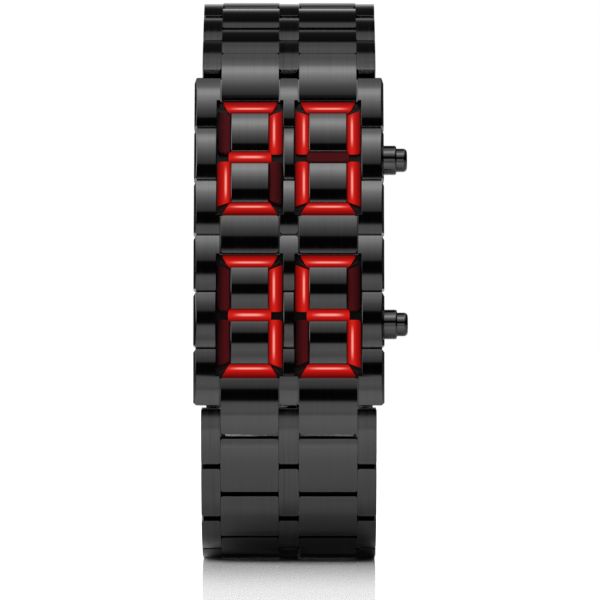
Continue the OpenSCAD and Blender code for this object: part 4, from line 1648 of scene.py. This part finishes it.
    def map_bar(self, obj: bpy.types.Object, xs: Pair, ys: Pair, x: float, y: float) -> None:
        """Lays a bar's UV map: u from its inner side to its outer side and v along it.

        Args:
            obj: The bar.
            xs: Its lowest and highest x.
            ys: Its lowest and highest y.
            x: The figure's middle across the case.
            y: The figure's middle along the case.
        """
        layer = obj.data.uv_layers.new(name=BAR_UV)
        level = xs[1] - xs[0] > ys[1] - ys[0]
        (low, high), middle = (ys, y) if level else (xs, x)
        central = low < middle < high
        for loop in obj.data.loops:
            co = obj.data.vertices[loop.vertex_index].co
            s = (co.x - xs[0]) / (xs[1] - xs[0])
            t = (co.y - ys[0]) / (ys[1] - ys[0])
            across, along = (t, s) if level else (s, t)
            if central:
                across = HOT_LINE * (1 - abs(2 * across - 1))
            elif high < middle + (high - low) / 2:
                across = 1 - across
            layer.data[loop.index].uv = (across, along)

    def lens_sheet(self, side: int) -> bpy.types.Object:
        """The sheet that carries the bars of one pair of figures.

        Args:
            side: 1 for the hours, -1 for the minutes.

        Returns:
            The sheet.
        """
        half_w, half_l = self.sheet_half
        top = self.mask_r - self.mask_t - self.seat_gap
        y0, y1 = (self.seat_gap, half_l) if side > 0 else (-half_l, -self.seat_gap)
        sheet = self.curved("sheet", top - self.lens_t, top, (-half_w, y0), (half_w, y1))
        cut(sheet, *self.notches())
        layer = sheet.data.uv_layers.new(name=BAR_UV)
        for loop in sheet.data.loops:
            layer.data[loop.index].uv = SHEET_UV
        return sheet

    def build(self) -> None:
        """Builds the mask, its islands and the two lenses."""
        island_y = (self.island_l + self.level_t) / 2
        webs, islands, ribs = [self.sheet()], [], []
        lit: dict[str, list[bpy.types.Object]] = {"hours": [], "minutes": []}
        unlit = {"hours": [self.lens_sheet(1)], "minutes": [self.lens_sheet(-1)]}
        for x, y, figure, lens in self.windows():
            webs.append(self.web(x, y))
            ribs += self.ribs(x, y)
            islands += [self.island(x, y + side * island_y) for side in (-1, 1)]
            for name, plan in self.bar_plans(0).items():
                group = lit if name in figure.value else unlit
                group[lens].append(self.bar(plan, x, y))
        for name, parts, finish in (
            ("mask_webs", webs, Finish.WEB_BLACK),
            # The ridges' lighter grey over the black webs is a painted highlight
            ("mask_ribs_painted_glint", ribs, Finish.RIB_BLACK),
            ("mask_islands", islands, Finish.BLACK_STEEL),
        ):
            self.case.deliver(joined(name, parts), name, "mask_black", finish, "segment_mask")
        for lens in ("hours", "minutes"):
            for state, groups, finish in (("lit", lit, Finish.LIT), ("unlit", unlit, Finish.UNLIT)):
                name = f"{lens}_{state}_bars"
                self.case.deliver(joined(name, groups[lens]), name, "red_lens", finish, f"{lens}_lens")


@dataclass
class Pushers:
    """The two round pushers in the right side: fixed collars with sliding caps."""

    case: Case
    place_y: ClassVar[float] = 1.5 * PATTERN.pitch
    place_z: ClassVar[float] = -2.2
    neck_r: ClassVar[float] = 1.2
    collar_r: float = 1.875
    collar_l: float = 1.6
    collar_round: float = 0.25
    cup_r: float = 1.55
    cup_floor: float = 0.5
    cup_edge: float = 0.05
    cap_r: float = 1.5
    cap_l: float = 1.35
    cap_round: float = 0.5
    cap_edge: float = 0.1
    cap_room: float = 0.8
    stem_r: float = 0.75
    stem_x: float = 9.97
    clip_r: float = 1.15
    clip: Pair = (10.05, 10.2)

    @property
    def collar_end(self) -> float:
        """Where the collar ends."""
        return PATTERN.case_w / 2 + self.collar_l

    def tube(self) -> bpy.types.Object:
        """The fixed collar on its neck, bored for the cap and the stem.

        Returns:
            The collar.
        """
        start, side, end, r = self.case.hollow_x, self.case.side_x, self.collar_end, self.collar_round
        bore, edge = self.stem_r + PATTERN.run_fit, self.cup_edge
        profile = [(start, bore), (start, self.neck_r), (side, self.neck_r), (side, self.collar_r)]
        profile += arc((end - r, self.collar_r - r), r, 90, 0, 5)
        floor = side + self.cup_floor
        profile += [(end, self.cup_r + edge), (end - edge, self.cup_r), (floor, self.cup_r), (floor, bore)]
        return turned("tube", profile)

    def cap(self) -> bpy.types.Object:
        """The sliding cap with its rounded end, its stem and its clip.

        Returns:
            The cap.
        """
        start = self.case.side_x + self.cup_floor + self.cap_room
        end, r, edge = self.collar_end + self.cap_l, self.cap_round, self.cap_edge
        profile = [(self.stem_x, 0.0), (self.stem_x, self.stem_r), (self.clip[0], self.stem_r)]
        profile += [(self.clip[0], self.clip_r), (self.clip[1], self.clip_r), (self.clip[1], self.stem_r)]
        profile += [(start, self.stem_r), (start, self.cap_r - edge), (start + edge, self.cap_r)]
        profile += arc((end - r, self.cap_r - r), r, 90, 0, 6)
        profile.append((end, 0.0))
        return turned("cap", profile)

    def build(self) -> None:
        """Builds both collars and both caps."""
        tubes = []
        for row, end in (("upper", 1), ("lower", -1)):
            place = Matrix.Translation((0, end * self.place_y, self.place_z))
            tube = self.tube()
            tube.data.transform(place)
            tubes.append(tube)
            cap = shade(self.cap())
            cap.data.transform(place)
            name, matrix = f"{row}_pusher", self.case.matrix
            self.case.shop.deliver(cap, f"{name}_cap", name, "case_steel", Finish.BLACK_STEEL, matrix, name)
        collars = shade(joined("tubes", tubes))
        self.case.deliver(collars, "pusher_collars", "case_steel", Finish.BLACK_STEEL, "pusher_tubes")


# The clasp


@dataclass
class Clasp:
    """The folding clasp: two blades, their rivets, the cover and its release buttons.

    Its local y runs from the lower end of the band to the upper end, and its x towards -X.
    """

    shop: Workshop
    cover_t: float = 0.9
    cover_z: float = 1.5
    cover_start: float = 0.8
    wall_w: float = 1.1
    wall_bottom: float = -0.6
    wall_room: float = 0.2
    cover_room: float = 0.1
    cover_edge: float = 0.16
    ear_r: float = 1.6
    blade_t: float = 0.9
    blade_edge: float = 0.1
    inner_half: float = 8.45
    outer_half: float = 7.5
    inner_z: float = -1.5
    outer_z: float = 0.3
    fold_back: float = 8.0
    fold_z: float = -0.15
    fold_r: float = 1.25
    fold_knuckle: float = 3.3
    fold_room: float = 0.15
    tube_r: float = 1.5
    hinge_y: float = 4.4
    hinge_z: float = 0.6
    hinge_r: float = 0.8
    lug_r: float = 0.85
    lug_x: Pair = (7.7, 8.9)
    rivet_r: float = 0.4
    bar_tip_r: float = 0.4
    bar_edge: float = 0.08
    button_back: float = 4.7
    button_z: float = 0.4
    button: Pair = (3.6, 1.4)
    button_end: float = 11.6
    button_room: float = 0.06
    button_edge: float = 0.14
    foot: Triple = (6.6, 2.6, 1.4)
    foot_x: float = 3.05
    matrix: Matrix = field(init=False)
    length: float = field(init=False)

    def __post_init__(self) -> None:
        """Finds the clasp's frame from the two spring bars."""
        low, high = LOWER_PINS[-1], UPPER_PINS[-1]
        self.length = (high - low).length / MM
        self.matrix = local_frame(low, high - low, Vector((-1, 0, 0)))

    @property
    def fold_y(self) -> float:
        """Where the blades fold."""
        return self.length - self.fold_back

    @property
    def cover_stop(self) -> float:
        """Where the cover's plate ends."""
        return self.length - PATTERN.end_r - PATTERN.gap - self.cover_room

    def cover(self) -> bpy.types.Object:
        """The outer cover: plate, side walls, hinge lugs and ears.

        Returns:
            The cover, rounded.
        """
        half, stop, top = PATTERN.band_w / 2, self.cover_stop, self.cover_z + self.cover_t
        joint = self.cover_z + OVERLAP
        body = block("cover", (-half, self.cover_start, self.cover_z), (half, stop, top))
        wall_start = PATTERN.end_r + PATTERN.gap + self.wall_room
        for side in (-1, 1):
            x0, x1 = sorted((side * (half - self.wall_w), side * half))
            fused(body, block("wall", (x0, wall_start, self.wall_bottom), (x1, stop, joint)))
            x0, x1 = sorted((side * PATTERN.edge_x, side * half))
            ear = block("ear", (x0, stop - OVERLAP, self.wall_bottom), (x1, self.length, top))
            fused(body, ear, rod("ear_end", self.ear_r, x0, x1, self.length, 0))
            x0, x1 = sorted((side * self.lug_x[0], side * self.lug_x[1]))
            y, r = self.hinge_y, self.lug_r
            lug = block("lug", (x0, y - r, self.hinge_z), (x1, y + r, joint))
            fused(body, fused(lug, rod("lug_end", r, x0, x1, y, self.hinge_z)))
        half_l, half_h = self.button[0] / 2 + self.button_room, self.button[1] / 2 + self.button_room
        y, z = self.length - self.button_back, self.button_z
        cut(body, block("slots", (-FAR, y - half_l, z - half_h), (FAR, y + half_l, z + half_h)))
        cut(body, rod("tips", self.bar_tip_r + PATTERN.run_fit, -FAR, FAR, self.length, 0))
        reach = self.lug_x[1] + SPARE
        cut(body, rod("rivet", self.rivet_r + PATTERN.run_fit, -reach, reach, self.hinge_y, self.hinge_z))
        return soften(body, self.cover_edge)

    def inner_blade(self) -> bpy.types.Object:
        """The blade that hangs on the lower spring bar.

        Returns:
            The blade, rounded.
        """
        half, start, middle = self.inner_half, PATTERN.end_r + PATTERN.gap, PATTERN.wide_x
        y, z = self.fold_y, self.fold_z
        body = block("inner", (-half, 0, self.inner_z), (half, y, self.inner_z + self.blade_t))
        for side in (-1, 1):
            x0, x1 = sorted((side * middle, side * half))
            k0, k1 = sorted((side * self.fold_knuckle, side * half))
            fused(body, rod("tube", self.tube_r, x0, x1), rod("knuckle", self.fold_r, k0, k1, y, z))
        cut(body, block("notch", (-middle, -DEEP, -DEEP), (middle, start, DEEP)))
        knuckle, free = self.fold_knuckle, y - self.fold_r - self.fold_room
        cut(body, block("fold", (-knuckle, free, -DEEP), (knuckle, self.length, DEEP)))
        cut(body, rod("bar", PATTERN.spring_bar_r + PATTERN.run_fit, -FAR, FAR))
        cut(body, rod("rivet", self.rivet_r + PATTERN.run_fit, -FAR, FAR, y, z))
        return soften(body, self.blade_edge)

    def outer_blade(self) -> bpy.types.Object:
        """The blade between the fold and the cover's hinge.

        Returns:
            The blade, rounded.
        """
        half, tongue = self.outer_half, self.fold_knuckle - self.fold_room
        end, top = self.fold_y - self.fold_r - self.fold_room, self.outer_z + self.blade_t
        body = block("outer", (-half, self.hinge_y, self.outer_z), (half, end, top))
        fused(body, rod("knuckle", self.hinge_r, -half, half, self.hinge_y, self.hinge_z))
        arm = block("tongue", (-tongue, end - OVERLAP, self.outer_z), (tongue, self.fold_y, top))
        fused(body, fused(arm, rod("tongue_end", self.fold_r, -tongue, tongue, self.fold_y, self.fold_z)))
        for y, z in ((self.fold_y, self.fold_z), (self.hinge_y, self.hinge_z)):
            cut(body, rod("rivet", self.rivet_r + PATTERN.press_fit, -FAR, FAR, y, z))
        return soften(body, self.blade_edge)

    def release_button(self, side: int) -> bpy.types.Object:
        """A release button: a cap in the cover's side wall on a foot under the cover.

        Args:
            side: 1 at the clasp's own right, -1 at its left.

        Returns:
            The button.
        """
        y, z = self.length - self.button_back, self.button_z
        l, h = self.button[0] / 2, self.button[1] / 2
        foot_l, foot_h = self.foot[1] / 2, self.foot[2] / 2
        foot_end = self.foot_x + self.foot[0]
        x0, x1 = sorted((side * (foot_end - OVERLAP), side * self.button_end))
        f0, f1 = sorted((side * self.foot_x, side * foot_end))
        cap = block("button", (x0, y - l, z - h), (x1, y + l, z + h))
        fused(cap, block("foot", (f0, y - foot_l, z - foot_h), (f1, y + foot_l, z + foot_h)))
        return soften(cap, self.button_edge)

    def spring_bar(self, y: float, tips: bool) -> bpy.types.Object:
        """A spring bar with its shoulders and tips.

        Args:
            y: Its place along the clasp.
            tips: Whether its tips stand out.

        Returns:
            The bar.
        """
        half, tip = PATTERN.edge_x - PATTERN.gap / 2, PATTERN.band_w / 2 - 3 * PATTERN.pin_recess
        bar = rod("bar", PATTERN.spring_bar_r, -half, half, y)
        if tips:
            fused(bar, rod("tips", self.bar_tip_r, -tip, tip, y))
        return soften(bar, self.bar_edge, 2)

    def build(self) -> None:
        """Builds every piece of the clasp."""
        fold = rod("rivet", self.rivet_r, -self.inner_half, self.inner_half, self.fold_y, self.fold_z)
        hinge = rod("rivet", self.rivet_r, -self.lug_x[1], self.lug_x[1], self.hinge_y, self.hinge_z)
        rivets = joined("rivets", [soften(rivet, self.bar_edge, 2) for rivet in (fold, hinge)])
        upper_link, lower_link = (f"{row}_link_{len(pins) - 1:02d}" for row, pins in BAND_ROWS)
        black, bright = Finish.BLACK_BRUSHED, Finish.BRIGHT_STEEL
        for obj, name, body, slot, finish, node in (
            (self.cover(), "cover", "clasp_cover", "clasp_steel", black, "clasp_cover"),
            (self.inner_blade(), "blade_inside", "inner_blade", "bright_steel", bright, "inner_blade"),
            (self.outer_blade(), "blade_outside", "outer_blade", "bright_steel", bright, "outer_blade"),
            (rivets, "rivets", "outer_blade", "bright_steel", bright, "clasp_rivets"),
        ):
            self.shop.deliver(obj, name, body, slot, finish, self.matrix, node)
        for name, side in (("left_button", 1), ("right_button", -1)):
            button, polished = self.release_button(side), Finish.BLACK_STEEL
            self.shop.deliver(button, f"{name}_cap", name, "clasp_steel", polished, self.matrix, name)
        for name, link, node, y, tips in (
            ("bar_below", lower_link, "lower_spring_bar", 0, True),
            ("bar_above", upper_link, "upper_spring_bar", self.length, False),
        ):
            bar = self.spring_bar(y, tips)
            self.shop.deliver(bar, name, link, "bright_steel", bright, self.matrix, node)


# The pieces that keep their CAD shape

KEPT_NODES = {
    "light_box": Finish.WHITE_PLASTIC,
    "led_chips": Finish.LED,
    "circuit_board": Finish.BOARD,
    "board_components": Finish.BLACK_PLASTIC,
    "contact_springs": Finish.GOLD,
    "module_frame": Finish.BLACK_PLASTIC,
    "coin_cells": Finish.CELL_CAN,
    "back_gasket": Finish.RUBBER,
    "upper_pusher_seal": Finish.RUBBER,
    "lower_pusher_seal": Finish.RUBBER,
    "upper_pusher_spring": Finish.BRIGHT_STEEL,
    "lower_pusher_spring": Finish.BRIGHT_STEEL,
    "button_spring": Finish.BRIGHT_STEEL,
}


# The studio


@dataclass
class Studio:
    """The pale floor, the soft light and the camera.

    Each light is a list of stops: degrees over the horizon, and brightness there. The world's light changes
    from one to the next between two values of its direction's x or y: behind_y from the front to the
    back, corner_x from the back to its corners, flank_x to both flanks and left_x to the far left.
    The places in the picture are in its pixels.
    """

    floor_colour: str = "#DADADA"
    floor_roughness: float = 0.085
    floor_r: float = 3.0
    picture_px: int = 600
    px_per_mm: float = 8.0
    distance: float = 0.75
    sensor_mm: float = 36.0
    object_x_px: float = 289.2
    object_foot_px: float = 556.2
    object_px: float = 556.0
    brightest: float = 7.0
    front_light: tuple[Pair, ...] = (
        (0, 1.7), (9, 1.5), (12.5, 0.02), (28.5, 0.02), (30, 0.55), (40, 1.2), (49, 2.3), (58, 3.9),
        (66, 6.0), (72, 5.2), (78, 2.5), (90, 1.4),
    )
    back_light: tuple[Pair, ...] = (
        (0, 1.5), (5, 1.4), (10, 0.5), (18, 0.9), (25, 0.6), (35, 0.15), (42, 0.05), (80, 0.05), (84, 0.3),
        (90, 1.4),
    )
    corner_light: tuple[Pair, ...] = ((0, 0.02), (15, 0.05), (28, 0.5), (50, 0.9), (75, 1.0), (90, 1.4))
    left_light: tuple[Pair, ...] = ((0, 0.02), (9, 0.02), (14, 7.0), (45, 7.0), (60, 2.0), (90, 1.0))
    flank_light: tuple[Pair, ...] = ((0, 0.02), (35, 0.05), (50, 0.7), (70, 1.2), (90, 1.4))
    behind_y: Pair = (0.0, 0.36)
    corner_x: Pair = (0.15, 0.25)
    flank_x: Pair = (0.22, 0.42)
    left_x: Pair = (-0.62, -0.78)
    fill_watts: float = 52.0
    fill_at: Triple = (0.0, -0.45, 0.6)
    fill_y: float = -0.108
    fill_angle: float = 5.4
    fill_r: float = 0.03
    fill_blend: float = 0.7

    def build_floor(self) -> None:
        """A wide pale disc that the watch stands on."""
        deselect()
        bpy.ops.mesh.primitive_circle_add(vertices=2 * ROUND_FACES, radius=self.floor_r, fill_type="NGON")
        floor = bpy.context.object
        floor.name = "studio_floor"
        material, tree, output = new_material("pale_floor")
        shader = add_node(
            tree, "ShaderNodeBsdfPrincipled",
            {"Base Color": linear(self.floor_colour), "Roughness": self.floor_roughness},
        )
        tree.links.new(shader.outputs["BSDF"], output.inputs["Surface"])
        floor.data.materials.append(material)

    def build_light(self) -> None:
        """The light round the watch, as softboxes and black cards give it, on a plain white ground."""
        world = bpy.data.worlds.new("soft_studio")
        bpy.context.scene.world = world
        world.use_nodes = True
        tree = world.node_tree
        tree.nodes.clear()
        output = tree.nodes.new("ShaderNodeOutputWorld")
        direction = add_node(tree, "ShaderNodeTexCoord").outputs["Generated"]
        parts = add_node(tree, "ShaderNodeSeparateXYZ", links={"Vector": direction}).outputs
        elevation = add_node(
            tree, "ShaderNodeMath", {"operation": "ARCSINE"}, {0: parts["Z"]}
        ).outputs["Value"]
        share = add_node(
            tree, "ShaderNodeMapRange", {"From Min": 0.0, "From Max": math.pi / 2}, {"Value": elevation}
        ).outputs["Result"]
        aside = add_node(tree, "ShaderNodeMath", {"operation": "ABSOLUTE"}, {0: parts["X"]}).outputs["Value"]
        light = self.sky(tree, share, self.front_light)
        back, corner = self.sky(tree, share, self.back_light), self.sky(tree, share, self.corner_light)
        flank, left = self.sky(tree, share, self.flank_light), self.sky(tree, share, self.left_light)
        shares = [
            add_node(tree, "ShaderNodeMapRange", {"From Min": low, "From Max": high}, {"Value": place})
            for place, (low, high) in (
                (aside, self.corner_x), (parts["Y"], self.behind_y), (aside, self.flank_x),
                (parts["X"], self.left_x),
            )
        ]
        at_corner, behind, beside, far_left = (node.outputs["Result"] for node in shares)
        blend = {"data_type": "RGBA"}
        back = add_node(tree, "ShaderNodeMix", blend, {0: at_corner, 6: back, 7: corner}).outputs[2]
        for place, other in ((behind, back), (beside, flank), (far_left, left)):
            light = add_node(tree, "ShaderNodeMix", blend, {0: place, 6: light, 7: other}).outputs[2]
        glow = add_node(tree, "ShaderNodeBackground", {"Strength": self.brightest}, {"Color": light})
        plain = add_node(tree, "ShaderNodeBackground", {"Color": linear("#FFFFFF"), "Strength": 1.0})
        seen = add_node(tree, "ShaderNodeLightPath").outputs["Is Camera Ray"]
        sources = {0: seen, 1: glow.outputs["Background"], 2: plain.outputs["Background"]}
        mixed = add_node(tree, "ShaderNodeMixShader", links=sources)
        tree.links.new(mixed.outputs["Shader"], output.inputs["Surface"])

    def build_fill(self) -> None:
        """A soft spot on the floor in front of the watch, which the lower links reflect."""
        data = bpy.data.lights.new("floor_fill", "SPOT")
        data.energy = self.fill_watts
        data.shadow_soft_size = self.fill_r
        data.spot_size = math.radians(2 * self.fill_angle)
        data.spot_blend = self.fill_blend
        lamp = bpy.data.objects.new("floor_fill", data)
        bpy.context.scene.collection.objects.link(lamp)
        lamp.location = self.fill_at
        lamp.visible_glossy = False
        aim = Vector((0, self.fill_y, 0)) - lamp.location
        lamp.rotation_euler = aim.to_track_quat("-Z", "Y").to_euler()

    def sky(
        self, tree: bpy.types.NodeTree, share: bpy.types.NodeSocket, stops: tuple[Pair, ...]
    ) -> bpy.types.NodeSocket:
        """The brightness of one side of the studio by height.

        Args:
            tree: The world's node tree.
            share: The height, from 0 at the horizon to 1 overhead.
            stops: Degrees over the horizon and brightness of each stop.

        Returns:
            The colour socket.
        """
        ramp = add_node(tree, "ShaderNodeValToRGB", links={"Fac": share})
        values = [(degrees / 90, level / self.brightest) for degrees, level in stops]
        fill_ramp(ramp, [(place, (value, value, value, 1)) for place, value in values])
        return ramp.outputs["Color"]

    def build_camera(self) -> None:
        """A level camera that frames the watch as the photograph does."""
        low, high = CAD_BOX
        data = bpy.data.cameras.new("camera")
        camera = bpy.data.objects.new("camera", data)
        bpy.context.scene.collection.objects.link(camera)
        half_px = self.picture_px / 2
        mm_per_px = (high.z - low.z) / self.object_px
        width = self.picture_px / self.px_per_mm * MM
        x = (half_px - self.object_x_px) * mm_per_px
        z = low.z + (self.object_foot_px - half_px) * mm_per_px
        camera.location = (x, low.y - self.distance, z)
        camera.rotation_euler = (math.pi / 2, 0, 0)
        data.sensor_width = self.sensor_mm
        data.lens = self.sensor_mm * self.distance / width
        data.clip_start, data.clip_end = 0.01, 20
        bpy.context.scene.camera = camera

    def build(self) -> None:
        """Builds the floor, the lights and the camera."""
        self.build_floor()
        self.build_light()
        self.build_fill()
        self.build_camera()
        bpy.context.scene.view_settings.view_transform = "Standard"


def main() -> None:
    """Builds the watch and its studio."""
    logging.basicConfig(level=logging.INFO, format="%(message)s")
    deselect()
    shop = Workshop()
    Case(shop).build()
    Band(shop).build()
    Clasp(shop).build()
    for node, finish in KEPT_NODES.items():
        shop.dress(node, finish)
    Studio().build()
    log.info("%d new pieces", shop.pieces)


if __name__ == "__main__":
    main()
